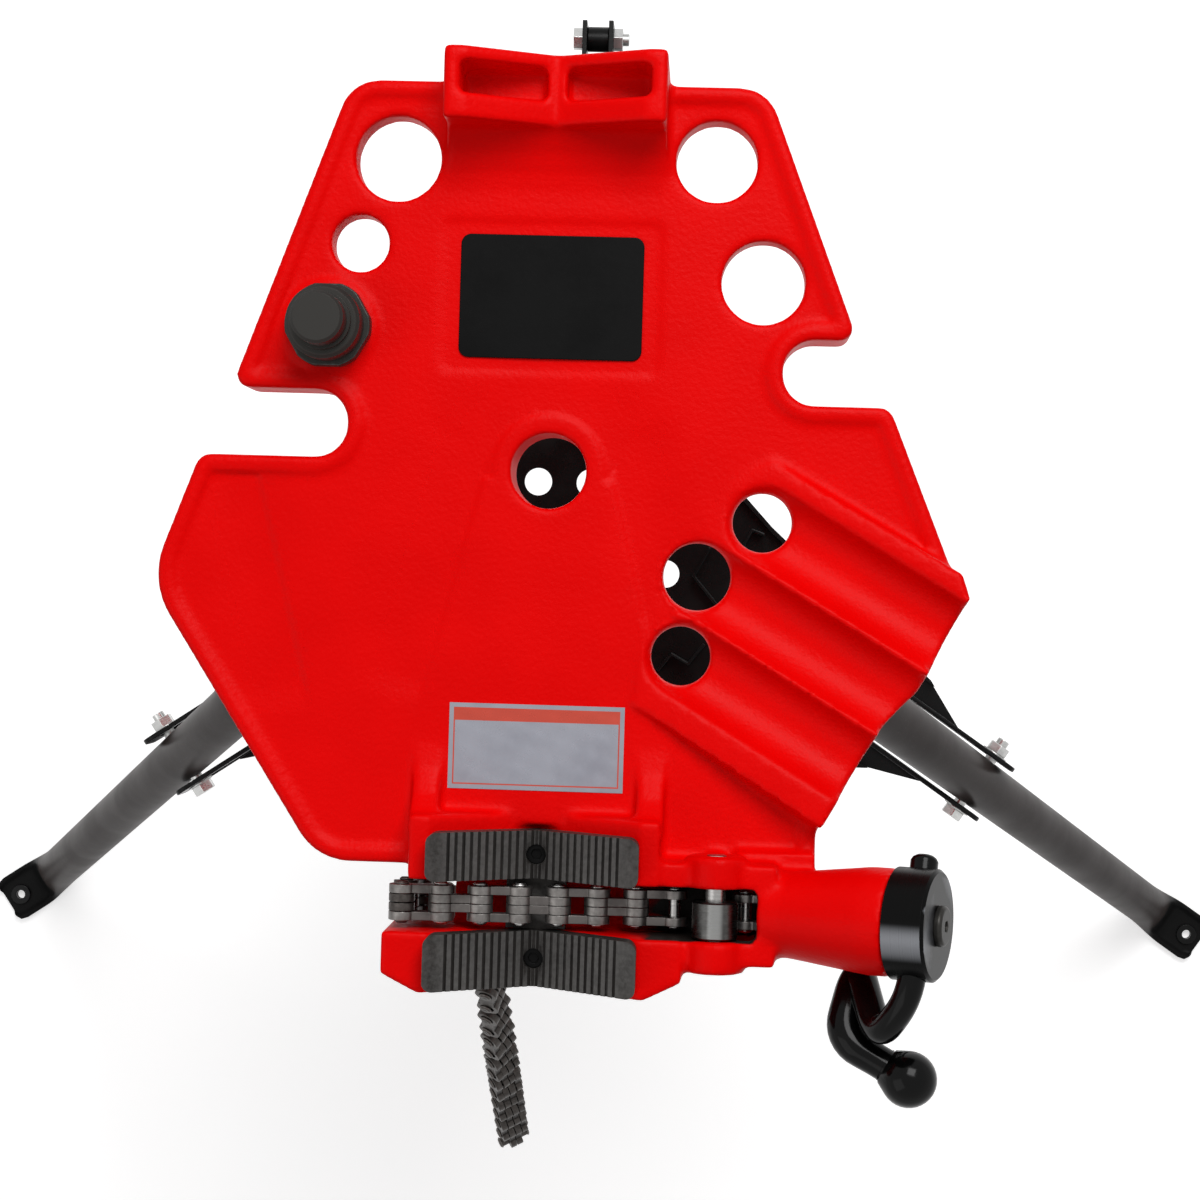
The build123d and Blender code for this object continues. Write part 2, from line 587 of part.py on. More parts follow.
def crank_screw():
    """The button-head screw in the middle of the cap."""
    base = BARREL_END + CAP_GAP + CAP_L
    head = rod(axis_point(base), axis_point(base + 4), 20.0)
    head = fillet(head.faces().sort_by(Axis(axis_point(0), DRAW_DIR))[-1].edges(), 2.0)
    plane = Plane(origin=axis_point(base + 2), z_dir=DRAW_DIR)
    shank = rod(axis_point(base - CAP_SCREW_L), axis_point(base), CAP_SCREW_D)
    return head + shank - hexagon(plane, 5.0, 4.0)


def draw_screw():
    """The threaded draw bar that pulls the chain, with its clevis tongue."""
    start = BARREL_END - SLEEVE_L - SCREW_TRAVEL - 12
    bar = rod(axis_point(start), axis_point(start + SCREW_L), SCREW_D)
    tongue = rod(axis_point(start - 6), axis_point(start + 2), 24.0)
    return bar + tongue


# Ceiling screw
def ceiling_screw():
    """The ceiling brace screw with its stepped head."""
    x, y = CEILING_AT
    foot = TABLE_H + JAM_NUT_H + 0.2
    stem = drill(x, y, CEILING_D, TABLE_H - CEILING_BOSS_L - CEILING_LIFT - 20, foot + 2)
    shoulder = foot + CEILING_FLANGE_H
    flange = drill(x, y, CEILING_FLANGE_D, foot, shoulder)
    flange = chamfer(flange.faces().sort_by(Axis.Z)[-1].edges(), 2.0)
    step = drill(x, y, CEILING_STEP_D, shoulder, shoulder + CEILING_STEP_H)
    top = drill(x, y, CEILING_TOP_D, shoulder + CEILING_STEP_H, shoulder + CEILING_STEP_H + CEILING_TOP_H)
    top = chamfer(top.faces().sort_by(Axis.Z)[-1].edges(), 1.5)
    return stem + flange + step + top


def jam_nut():
    """The hex jam nut under the head of the ceiling screw."""
    x, y = CEILING_AT
    nut = hexagon(Plane(origin=(x, y, TABLE_H + 0.1)), JAM_NUT_AF, JAM_NUT_H)
    nut = nut & drill(x, y, JAM_NUT_D, TABLE_H, TABLE_H + 2 * JAM_NUT_H)
    return nut - drill(x, y, CEILING_D + 2 * RUN_GAP, TABLE_H - 1, TABLE_H + 30)


# Legs, each laid out in its own radial plane and turned to its azimuth
def leg_axis(radius, splay):
    """Unit vector down a leg, with its hinge point."""
    angle = radians(splay)
    return Vector(sin(angle), 0, -cos(angle)), Vector(radius, 0, HINGE_Z)


def leg_knuckle(radius, splay):
    """The forged eye that plugs into the top of the tube."""
    down, hinge = leg_axis(radius, splay)
    eye = Pos(*hinge) * Rot(90, 0, 0) * Cylinder(EYE_D / 2, EYE_T)
    neck = Plane(origin=hinge + down * 17, z_dir=down, x_dir=(0, 1, 0)) * Box(EYE_T, EYE_D - 4, 34)
    shoulder = rod(hinge + down * 30, hinge + down * LEG_START, LEG_D)
    plug = rod(hinge + down * LEG_START, hinge + down * (LEG_START + PLUG_L), LEG_D - 2 * LEG_WALL)
    knuckle = eye + neck + shoulder + plug
    return knuckle - Pos(*hinge) * Rot(90, 0, 0) * Cylinder(PIVOT_D / 2 + RUN_GAP, 60)


def leg_end(radius, splay):
    """Where the axis of a leg meets the floor."""
    return radius + HINGE_Z * tan(radians(splay))


def leg_tube(radius, splay, bolted):
    """The steel tube of a leg, cut level above its foot."""
    down, hinge = leg_axis(radius, splay)
    length = HINGE_Z / cos(radians(splay)) + 40
    tube = rod(hinge + down * LEG_START, hinge + down * length, LEG_D)
    tube -= rod(hinge + down * (LEG_START - 1), hinge + down * (length + 1), LEG_D - 2 * LEG_WALL)
    tube -= block(-FAR, FAR, -FAR, FAR, -FAR, FOOT_T)
    if bolted:
        tube -= Pos(FRONT_BOLT_R, 0, BOLT_Z) * Rot(90, 0, 0) * Cylinder(BOLT_D / 2, 60)
    return tube


def foot(radius, splay):
    """The pressed shoe: a channel pad on the floor with a socket for the tube."""
    down, hinge = leg_axis(radius, splay)
    end = leg_end(radius, splay)
    length = HINGE_Z / cos(radians(splay))
    half = FOOT_W / 2
    pad = block(end - FOOT_BACK, end + FOOT_FRONT, -half, half, 0, FOOT_T)
    for side in (-1, 1):
        edge = sorted((side * half, side * (half - FOOT_T)))
        pad += block(end - FOOT_BACK, end + FOOT_FRONT, *edge, 0, FOOT_LIP)
    outer = LEG_D + 2 * FOOT_SOCKET_T
    socket = rod(hinge + down * (length - FOOT_SOCKET_L), hinge + down * (length + 20), outer)
    socket -= block(-FAR, FAR, -FAR, FAR, -FAR, 0)
    shoe = pad + socket
    shoe -= rod(hinge + down * (length - FOOT_SOCKET_L - 1), hinge + down * (length + 60), LEG_D) - block(
        -FAR, FAR, -FAR, FAR, -FAR, FOOT_T)
    disc_x = end + FOOT_FRONT - FOOT_HOLE_IN
    return shoe - drill(disc_x, 0, FOOT_HOLE, -1, 60)


def foot_disc(radius, splay):
    """The ring pressed into the recess round the hole in a foot."""
    x = leg_end(radius, splay) + FOOT_FRONT - FOOT_HOLE_IN
    ring = drill(x, 0, FOOT_DISC_D, FOOT_T, FOOT_T + FOOT_DISC_T)
    down, hinge = leg_axis(radius, splay)
    length = HINGE_Z / cos(radians(splay))
    clear = rod(hinge + down * (length - 80), hinge + down * (length + 20), LEG_D + 2 * FOOT_SOCKET_T + 0.2)
    return ring - drill(x, 0, FOOT_HOLE, 0, 30) - clear


def pivot_bolt(radius):
    """The bolt and nut that a leg hinges on."""
    half = EYE_T / 2 + EYE_GAP + LUG_T
    bolt = Pos(radius, 0, HINGE_Z) * Rot(90, 0, 0) * Cylinder(PIVOT_D / 2, 2 * half + 20)
    bolt = bolt & block(-FAR, FAR, -half, half + HEX_H + 3, 0, FAR)
    head = hexagon(Plane(origin=(radius, -half, HINGE_Z), z_dir=(0, -1, 0)), 19.0, HEX_H)
    nut = hexagon(Plane(origin=(radius, half, HINGE_Z), z_dir=(0, 1, 0)), 19.0, HEX_H)
    return bolt + head, nut - Pos(radius, 0, HINGE_Z) * Rot(90, 0, 0) * Cylinder(PIVOT_D / 2, 200)


def cross_bolt(radius, half, flip):
    """A hex bolt and nut across a pair of rails at the height of the leg bolts."""
    ends = (-1, 1) if not flip else (1, -1)
    shank = Pos(radius, 0, BOLT_Z) * Rot(90, 0, 0) * Cylinder(BOLT_D / 2, 2 * (half + BOLT_HEAD_H + 4))
    low = -half if not flip else -half - BOLT_HEAD_H - 4
    high = half + BOLT_HEAD_H + 4 if not flip else half
    shank = shank & block(-FAR, FAR, low, high, 0, FAR)
    head = hexagon(Plane(origin=(radius, ends[0] * half, BOLT_Z), z_dir=(0, ends[0], 0)), BOLT_AF, BOLT_HEAD_H)
    nut = hexagon(Plane(origin=(radius, ends[1] * half, BOLT_Z), z_dir=(0, ends[1], 0)), BOLT_AF, BOLT_HEAD_H)
    nut -= Pos(radius, 0, BOLT_Z) * Rot(90, 0, 0) * Cylinder(BOLT_D / 2, 200)
    return shank + head, nut


# Tray
def front_rails(azimuth):
    """The slotted pair of rails that a front leg folds between."""
    end = FRONT_BOLT_R + RAIL_END_MARGIN
    plate = block(RAIL_START_R, end, RAIL_IN, RAIL_OUT, RAIL_Z, RAIL_Z + RAIL_H)
    plate = fillet(plate.edges().filter_by(Axis.Y), 8.0)
    inner = FRONT_HINGE_R + FRONT_BOLT_L * sin(radians(FRONT_SPLAY - FRONT_FOLD))
    slot_in = inner - BOLT_D / 2 - SLOT_MARGIN
    slot_out = FRONT_BOLT_R + BOLT_D / 2 + SLOT_MARGIN
    cut = block(slot_in, slot_out, RAIL_IN - 1, RAIL_OUT + 1, BOLT_Z - SLOT_H / 2, BOLT_Z + SLOT_H / 2)
    cut = fillet(cut.edges().filter_by(Axis.Y), BOLT_D / 2)
    plate -= cut
    return [Rot(0, 0, azimuth) * plate, Rot(0, 0, azimuth) * mirror(plate, Plane.XZ)]


def rear_rails():
    """The two straps that pass the rear leg and close behind it."""
    bend_end = REAR_RAIL_BEND_R + RAIL_IN - REAR_TIE_HALF
    inner = [(RAIL_IN, REAR_RAIL_START), (RAIL_IN, REAR_RAIL_BEND_R), (REAR_TIE_HALF, bend_end),
             (REAR_TIE_HALF, REAR_TIE_R + STRAP_END)]
    strap = [(x, y) for x, y in inner] + [(x + RAIL_T, y) for x, y in reversed(inner)]
    plate = prism(strap, STRAP_Z, RAIL_Z + RAIL_H - STRAP_INSET)
    plate -= Pos(0, REAR_TIE_R, BOLT_Z) * Rot(0, 90, 0) * Cylinder(BOLT_D / 2, FAR)
    return [plate, mirror(plate, Plane.YZ)]


def tray_outline():
    """Plan corners of the tray pan, right half mirrored to the left."""
    angle = radians(FRONT_AZIMUTH)
    out = (cos(angle), sin(angle))
    side = (-sin(angle), cos(angle))
    near = []
    beside = RAIL_OUT + TRAY_ARM_GAP
    for radius, shift in ((TRAY_ARM_R, -beside), (TRAY_ARM_R, beside), TRAY_SHOULDER):
        near.append((out[0] * radius + side[0] * shift, out[1] * radius + side[1] * shift))
    tail = RAIL_IN - TRAY_TAIL_GAP
    right = [TRAY_FRONT] + near + TRAY_WAIST + [(tail, y) for y in TRAY_TAIL]
    return right + [(-x, y) for x, y in reversed(right)]


def tray_pan():
    """The pressed tray with its rim, its holes and a notch for each front leg."""
    face = make_face(Polyline(*tray_outline(), close=True))
    pan = Pos(0, 0, RAIL_Z) * extrude(face, TRAY_RIM)
    pan -= Pos(0, 0, RAIL_Z + TRAY_T) * extrude(offset(face, -TRAY_T, kind=Kind.INTERSECTION), TRAY_RIM)
    for azimuth in (FRONT_AZIMUTH, 180 - FRONT_AZIMUTH):
        notch = block(RAIL_START_R, FAR, -RAIL_OUT, RAIL_OUT, 0, FAR)
        pan -= Rot(0, 0, azimuth) * notch
        half = RAIL_OUT + BOLT_ROOM
        room = block(RAIL_START_R + 10, FAR, -half, half, RAIL_Z + TRAY_T, FAR)
        pan -= Rot(0, 0, azimuth) * room
    for row, y in ((0, 12.0), (0.5, -46.0)):
        for column in range(TRAY_HOLES):
            x = (column - (TRAY_HOLES - 1) / 2 + row) * TRAY_HOLE_STEP + 2.4
            if row and column == TRAY_HOLES - 1:
                continue
            pan -= drill(x, y, TRAY_HOLE_D, 0, FAR)
    return pan


def build():
    """Every node by name, in hub coordinates."""
    nodes = {}
    nodes["table_casting"] = table_casting()
    w, d, t = NAME_PLATE
    plate = Pos(*NAME_AT, DECK_Z - NAME_SINK + t / 2) * Box(w, d, t)
    nodes["name_plate"] = fillet(plate.edges().filter_by(Axis.Z), 5)
    w, d, t = LABEL_PLATE
    plate = Pos(*LABEL_AT, DECK_Z + t / 2) * Box(w, d, t)
    nodes["label_plate"] = fillet(plate.edges().filter_by(Axis.Z), 2)
    rear, front = jaw_lines()
    nodes["rear_jaw"] = jaw(*rear)
    nodes["front_jaw"] = jaw(*front)
    nodes["jaw_screws"] = [jaw_screw(sum(rear) / 2), jaw_screw(sum(front) / 2)]

    half = CHANNEL_W / 2 - SIDE_GAP
    ends = [(ROLLER_X, CHAIN_Y + s * half, ROLLER_AXIS_Z) for s in (-1, 1)]
    roller = rod(*ends, ROLLER_D) - rod(*ends, ROLLER_PIN_D + 2 * RUN_GAP)
    nodes["chain_roller"] = roller
    reach = CHANNEL_W / 2 + BLOCK_WALL + PIN_BOSS_L
    ends = [(ROLLER_X, CHAIN_Y + s * reach, ROLLER_AXIS_Z) for s in (-1, 1)]
    nodes["roller_pin"] = rod(*ends, ROLLER_PIN_D)

    run = SPAN_RIGHT - SPAN_LEFT
    links = int(run.length / CHAIN_PITCH)
    plates, pins = chain_run(straight_chain(SPAN_LEFT, run, links, Vector(0, 1, 0)))
    nodes["chain_span_plates"] = plates
    nodes["chain_span_pins"] = pins[1:]
    plates, pins = chain_run(tail_points(), 1, TAIL_HOLE, TAIL_PLATE_T)
    nodes["chain_tail_plates"] = plates
    nodes["chain_tail_pins"] = pins
    start = BARREL_END - SLEEVE_L - SCREW_TRAVEL - 18 - PLATE_H / 2 - 0.2
    plates, pins = chain_run(straight_chain(axis_point(start), DRAW_DIR * -1, 1, Vector(0, 1, 0)))
    nodes["chain_draw_plates"] = plates
    nodes["chain_draw_pins"] = pins
    nodes["draw_screw"] = draw_screw()
    nodes["crank_cap"] = crank_cap()
    nodes["crank_handle"] = crank_handle()
    nodes["crank_screw"] = crank_screw()
    nodes["ceiling_screw"] = ceiling_screw()
    nodes["ceiling_jam_nut"] = jam_nut()

    bolts = []
    nuts = []
    for name, (azimuth, radius, splay) in LEGS.items():
        turn = Rot(0, 0, azimuth)
        nodes[f"{name}_leg_knuckle"] = turn * leg_knuckle(radius, splay)
        nodes[f"{name}_leg_tube"] = turn * leg_tube(radius, splay, name != "rear")
        nodes[f"{name}_foot"] = turn * foot(radius, splay)
        nodes[f"{name}_foot_ring"] = turn * foot_disc(radius, splay)
        bolt, nut = pivot_bolt(radius)
        bolts.append(turn * bolt)
        nuts.append(turn * nut)
        if name != "rear":
            bolt, nut = cross_bolt(FRONT_BOLT_R, RAIL_OUT + 1.0, name == "left")
            nodes[f"{name}_leg_bolt"] = turn * bolt
            nodes[f"{name}_leg_nut"] = turn * nut
            nodes[f"{name}_tray_rails"] = front_rails(azimuth)
    nodes["leg_pivot_bolts"] = bolts
    nodes["leg_pivot_nuts"] = nuts
    nodes["tray_pan"] = tray_pan()
    nodes["rear_tray_straps"] = rear_rails()
    bolt, nut = cross_bolt(REAR_TIE_R, REAR_TIE_HALF + RAIL_T, True)
    nodes["rear_tie_bolt"] = Rot(0, 0, 90) * bolt
    nodes["rear_tie_nut"] = Rot(0, 0, 90) * nut
    spacer = Rot(0, 0, 90) * (Pos(REAR_TIE_R, 0, BOLT_Z) * Rot(90, 0, 0) * Cylinder(8.0, 2 * REAR_TIE_HALF))
    nodes["rear_tie_spacer"] = spacer - Pos(0, REAR_TIE_R, BOLT_Z) * Rot(0, 90, 0) * Cylinder(BOLT_D / 2, FAR)
    return nodes


def solids_of(shape):
    """A flat list of the solids in a node."""
    if isinstance(shape, (list, tuple)):
        return [solid for item in shape for solid in solids_of(item)]
    return list(shape.solids())


NODES = {name: solids_of(shape) for name, shape in build().items()}
BOXES = [solid.bounding_box() for solids in NODES.values() for solid in solids]
SHIFT_Y = -(min(b.min.Y for b in BOXES) + max(b.max.Y for b in BOXES)) / 2

os.makedirs("parts", exist_ok=True)
for node, solids in NODES.items():
    moved = [Pos(0, SHIFT_Y, 0) * solid for solid in solids]
    export_step(moved[0] if len(moved) == 1 else Compound(children=moved), f"parts/{node}.step")
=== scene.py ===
"""Looks of a tripod pipe vise stand: a red cast table, worn chain, black crank, grey legs and black tray.

Positions marked hub are millimetres from the middle of the table's round hole, with Z up from the floor.
"""
import json
from math import cos, radians, sin, tan, tau

import bmesh
import bpy
import numpy as np
from mathutils import Matrix, Vector

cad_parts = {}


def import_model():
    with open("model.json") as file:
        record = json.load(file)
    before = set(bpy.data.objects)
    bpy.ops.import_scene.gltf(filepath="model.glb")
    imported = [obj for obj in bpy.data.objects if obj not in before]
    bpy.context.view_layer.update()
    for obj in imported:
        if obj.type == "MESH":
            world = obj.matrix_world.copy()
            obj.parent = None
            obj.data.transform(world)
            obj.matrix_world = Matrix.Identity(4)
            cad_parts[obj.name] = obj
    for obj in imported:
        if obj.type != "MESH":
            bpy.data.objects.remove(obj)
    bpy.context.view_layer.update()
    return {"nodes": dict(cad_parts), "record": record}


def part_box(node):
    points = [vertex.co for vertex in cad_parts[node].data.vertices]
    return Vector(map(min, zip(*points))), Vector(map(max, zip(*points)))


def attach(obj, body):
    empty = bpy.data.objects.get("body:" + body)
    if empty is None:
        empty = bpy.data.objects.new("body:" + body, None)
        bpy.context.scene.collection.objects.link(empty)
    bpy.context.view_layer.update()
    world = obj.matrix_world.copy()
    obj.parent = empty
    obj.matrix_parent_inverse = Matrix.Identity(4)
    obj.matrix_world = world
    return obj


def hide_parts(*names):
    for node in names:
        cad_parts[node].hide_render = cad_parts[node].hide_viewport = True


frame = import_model()
RECORD = frame["record"]
SLOT_OF = {entry["node"]: entry["material_slot"] for entry in RECORD["subparts"]}
BODY_OF = {node: body for body, nodes in RECORD["behaviour"]["bodies"].items() for node in nodes}

# Driving dimensions, hub millimetres
MM = 0.001
DECK_Z = 857.5
CHAIN_Y = -217.0
LOW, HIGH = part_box("chain_roller")
HUB_Y = (LOW.y + HIGH.y) / 2 - CHAIN_Y * MM
HUB_BOSS_R = 27.0
LABEL_AT = (-2.0, -139.0)
LABEL_SIZE = (88.0, 43.0, 0.6)

# Screw axis through the barrel and the crank's cap
ROLLER_AT = (90.0, 876.0)
SCREW_TILT = radians(21.0)
CHAIN_UNDER = 19.6
CAP_MIDDLE = 97.9

# Ceiling screw
CEILING_AT = (-112.0, 69.5)
STEM_TOP = 871.2
STEM_BOTTOM = 694.0
STEM_R = 10.0
STEM_LEAD = 5.0
THREAD_DEPTH = 1.0
HEAD_SINK = 2.1
HEAD_EDGE = 0.5
MOST_SIDES = 400

# Legs: azimuth in plan, hinge radius and splay
LEGS = {"left": (214.0, 133.0, 27.2), "right": (-34.0, 133.0, 27.2), "rear": (90.0, 175.0, 11.0)}
HINGE_Z = 800.0
TUBE_START = 42.0
TUBE_R = 16.0
FOOT_HALF = 19.0
FOOT_LENGTH = 40.0
FOOT_FLOOR = 4.0
FOOT_LIP = 9.0
FOOT_HOLE_AT = 28.0
FOOT_HOLE_R = 3.5
DRILL_DEPTH = 60.0
DRILL_SIDES = 24

# Tray and its bolts
TRAY_FLOOR = 439.0
BOLT_DROP = 345.0
RAIL_OUT = 21.0
WASHER_R = 8.8
WASHER_T = 1.0
WASHER_EDGE = 0.3
WASHER_SIDES = 32


def hub(x, y, z):
    """A hub position in millimetres as a frame position in metres."""
    return Vector((x * MM, y * MM + HUB_Y, z * MM))


# Shader groups
def new_group(name, inputs, outputs):
    """An empty shader group with named inputs, numbers or vectors, and float outputs."""
    group = bpy.data.node_groups.new(name, "ShaderNodeTree")
    for label, value in inputs.items():
        kind = "NodeSocketVector" if isinstance(value, tuple) else "NodeSocketFloat"
        socket = group.interface.new_socket(label, in_out="INPUT", socket_type=kind)
        socket.default_value = value
    for label in outputs:
        group.interface.new_socket(label, in_out="OUTPUT", socket_type="NodeSocketFloat")
    return group, group.nodes.new("NodeGroupInput"), group.nodes.new("NodeGroupOutput")


def noise(tree, coords, scale, detail=3.0, rough=0.5):
    """A noise texture on the given coordinates, with a number or a socket as its scale."""
    node = tree.nodes.new("ShaderNodeTexNoise")
    node.inputs["Detail"].default_value = detail
    node.inputs["Roughness"].default_value = rough
    tree.links.new(coords, node.inputs["Vector"])
    if isinstance(scale, (int, float)):
        node.inputs["Scale"].default_value = scale
    else:
        tree.links.new(scale, node.inputs["Scale"])
    return node.outputs["Fac"]


def math(tree, operation, first, second=None, clamp=False):
    """One math node; its terms are numbers or sockets."""
    node = tree.nodes.new("ShaderNodeMath")
    node.operation = operation
    node.use_clamp = clamp
    for socket, term in zip(node.inputs, (first, second)):
        if term is None:
            continue
        if isinstance(term, (int, float)):
            socket.default_value = term
        else:
            tree.links.new(term, socket)
    return node.outputs[0]


def ramp(tree, value, low, high):
    """A smooth step of a value from 0 at low to 1 at high."""
    node = tree.nodes.new("ShaderNodeMapRange")
    node.interpolation_type = "SMOOTHSTEP"
    node.inputs["From Min"].default_value = low
    node.inputs["From Max"].default_value = high
    tree.links.new(value, node.inputs["Value"])
    return node.outputs["Result"]


def edge_wear_and_highlight_group():
    """Mask of convex edges broken up by noise: worn edges on metal, and the painted highlight on the red
    enamel's rims.
    """
    group, given, out = new_group("Edge Wear And Highlight", {"Breakup": 300.0, "Start": 0.53, "End": 0.6}, ["Mask"])
    place = group.nodes.new("ShaderNodeTexCoord").outputs["Object"]
    point = group.nodes.new("ShaderNodeNewGeometry").outputs["Pointiness"]
    broken = noise(group, place, given.outputs["Breakup"], 4.0, 0.6)
    shifted = math(group, "ADD", point, math(group, "MULTIPLY", math(group, "SUBTRACT", broken, 0.5), 0.06))
    step = group.nodes.new("ShaderNodeMapRange")
    group.links.new(shifted, step.inputs["Value"])
    group.links.new(given.outputs["Start"], step.inputs["From Min"])
    group.links.new(given.outputs["End"], step.inputs["From Max"])
    group.links.new(step.outputs["Result"], out.inputs["Mask"])
    return group


def cast_skin_group():
    """Sand-cast skin under paint: broad waviness with fine pebbling, as height and as tone."""
    sizes = {"Pebble": 420.0, "Wave": 28.0, "Wave Share": 0.5}
    group, given, out = new_group("Cast Skin", sizes, ["Height", "Tone"])
    place = group.nodes.new("ShaderNodeTexCoord").outputs["Object"]
    fine = noise(group, place, given.outputs["Pebble"], 3.0, 0.55)
    broad = noise(group, place, given.outputs["Wave"], 2.0, 0.5)
    height = math(group, "ADD", fine, math(group, "MULTIPLY", broad, given.outputs["Wave Share"]))
    group.links.new(height, out.inputs["Height"])
    group.links.new(broad, out.inputs["Tone"])
    return group


def handling_group():
    """Grease, fingermarks and dust: slow blotches and fine specks."""
    group, given, out = new_group("Handling", {"Blotch": 22.0, "Speck": 900.0}, ["Blotches", "Specks"])
    place = group.nodes.new("ShaderNodeTexCoord").outputs["Object"]
    blotch = noise(group, place, given.outputs["Blotch"], 5.0, 0.6)
    speck = noise(group, place, given.outputs["Speck"], 1.0, 0.4)
    group.links.new(ramp(group, blotch, 0.35, 0.7), out.inputs["Blotches"])
    group.links.new(ramp(group, speck, 0.66, 0.78), out.inputs["Specks"])
    return group


def turned_group():
    """Lathe marks: fine rings that change only along an axis."""
    group, given, out = new_group("Turned", {"Axis": (0.0, 1.0, 0.0), "Rings": 900.0}, ["Rings"])
    place = group.nodes.new("ShaderNodeTexCoord").outputs["Object"]
    along = group.nodes.new("ShaderNodeVectorMath")
    along.operation = "DOT_PRODUCT"
    group.links.new(place, along.inputs[0])
    group.links.new(given.outputs["Axis"], along.inputs[1])
    ring = group.nodes.new("ShaderNodeTexNoise")
    ring.noise_dimensions = "1D"
    ring.inputs["Detail"].default_value = 2.0
    ring.inputs["Scale"].default_value = 1.0
    group.links.new(math(group, "MULTIPLY", along.outputs["Value"], given.outputs["Rings"]), ring.inputs["W"])
    group.links.new(ring.outputs["Fac"], out.inputs["Rings"])
    return group


EDGE_WEAR_AND_HIGHLIGHT = edge_wear_and_highlight_group()
CAST_SKIN = cast_skin_group()
HANDLING = handling_group()
TURNED = turned_group()


# Materials
def place_group(material, group, values):
    """A group node in a material, with its inputs set."""
    node = material.node_tree.nodes.new("ShaderNodeGroup")
    node.node_tree = group
    for label, value in values.items():
        node.inputs[label].default_value = value
    return node.outputs


def mix_colour(material, factor, first, second):
    """A colour mix; its ends are colours or sockets."""
    tree = material.node_tree
    node = tree.nodes.new("ShaderNodeMix")
    node.data_type = "RGBA"
    if isinstance(factor, (int, float)):
        node.inputs["Factor"].default_value = factor
    else:
        tree.links.new(factor, node.inputs["Factor"])
    for index, term in ((6, first), (7, second)):
        if isinstance(term, tuple):
            node.inputs[index].default_value = (*term, 1.0)
        else:
            tree.links.new(term, node.inputs[index])
    return node.outputs[2]


COAT_ROUGHNESS = 0.1


def finish(name, metallic=0.0, roughness=0.4, coat=0.0, specular=0.5):
    """A new material with its Principled shader."""
    material = bpy.data.materials.new(name)
    material.use_nodes = True
    shader = material.node_tree.nodes["Principled BSDF"]
    shader.inputs["Metallic"].default_value = metallic
    shader.inputs["Roughness"].default_value = roughness
    shader.inputs["Coat Weight"].default_value = coat
    shader.inputs["Coat Roughness"].default_value = COAT_ROUGHNESS
    shader.inputs["Specular IOR Level"].default_value = specular
    return material, shader


def add_bump(material, shader, height, distance, strength=0.5):
    """A bump from a height socket into the shader's normal."""
    node = material.node_tree.nodes.new("ShaderNodeBump")
    node.inputs["Strength"].default_value = strength
    node.inputs["Distance"].default_value = distance
    material.node_tree.links.new(height, node.inputs["Height"])
    material.node_tree.links.new(node.outputs["Normal"], shader.inputs["Normal"])


def spread(material, shader, value, low, high):
    """Roughness that runs from low to high with a value."""
    tree = material.node_tree
    node = tree.nodes.new("ShaderNodeMapRange")
    node.inputs["To Min"].default_value = low
    node.inputs["To Max"].default_value = high
    tree.links.new(value, node.inputs["Value"])
    tree.links.new(node.outputs["Result"], shader.inputs["Roughness"])


def red_enamel():
    """Thick red enamel over sand-cast iron, lighter red on its convex edges as a painted highlight along the
    rims.
    """
    material, shader = finish("red_enamel", roughness=0.42, specular=0.06)
    skin = place_group(material, CAST_SKIN, {"Pebble": 430.0, "Wave": 26.0, "Wave Share": 0.8})
    wear_and_rim_light = place_group(material, EDGE_WEAR_AND_HIGHLIGHT, {"Breakup": 160.0, "Start": 0.55, "End": 0.66})
    body = mix_colour(material, skin["Tone"], (0.68, 0.0, 0.0), (0.8, 0.0, 0.0))
    # Painted highlight: the convex edges are mixed up to 35 percent towards a lighter red, as where light
    # catches the rims.
    worn_and_lit_edges = math(material.node_tree, "MULTIPLY", wear_and_rim_light["Mask"], 0.35)
    painted = mix_colour(material, worn_and_lit_edges, body, (0.9, 0.008, 0.008))
    # Near black on the walls of the roller's slot, from the casting's slot attribute.
    slot_dark = material.node_tree.nodes.new("ShaderNodeAttribute")
    slot_dark.attribute_name = "SlotDark"
    colour = mix_colour(material, slot_dark.outputs["Fac"], painted, (0.012, 0.009, 0.008))
    material.node_tree.links.new(colour, shader.inputs["Base Color"])
    spread(material, shader, skin["Tone"], 0.32, 0.5)
    add_bump(material, shader, skin["Height"], 0.0007, 0.4)
    return material


def worn_metal(name, base, bright, metallic, rough, wear_and_rim_light, pebble=700.0, bump=0.0001):
    """Metal with a dark skin that is worn bright on its edges, and greasy blotches."""
    material, shader = finish(name, metallic=metallic, specular=0.2)
    tree = material.node_tree
    worn_and_lit_edges = place_group(material, EDGE_WEAR_AND_HIGHLIGHT, {"Breakup": 420.0, "Start": wear_and_rim_light[0], "End": wear_and_rim_light[1]})
    marks = place_group(material, HANDLING, {"Blotch": 60.0, "Speck": 1200.0})
    skin = place_group(material, CAST_SKIN, {"Pebble": pebble, "Wave": 80.0, "Wave Share": 0.4})
    dull = tuple(channel * 0.6 for channel in base)
    body = mix_colour(material, marks["Blotches"], base, dull)
    colour = mix_colour(material, worn_and_lit_edges["Mask"], body, bright)
    tree.links.new(colour, shader.inputs["Base Color"])
    spread(material, shader, marks["Blotches"], *rough)
    add_bump(material, shader, skin["Height"], bump, 0.4)
    return material


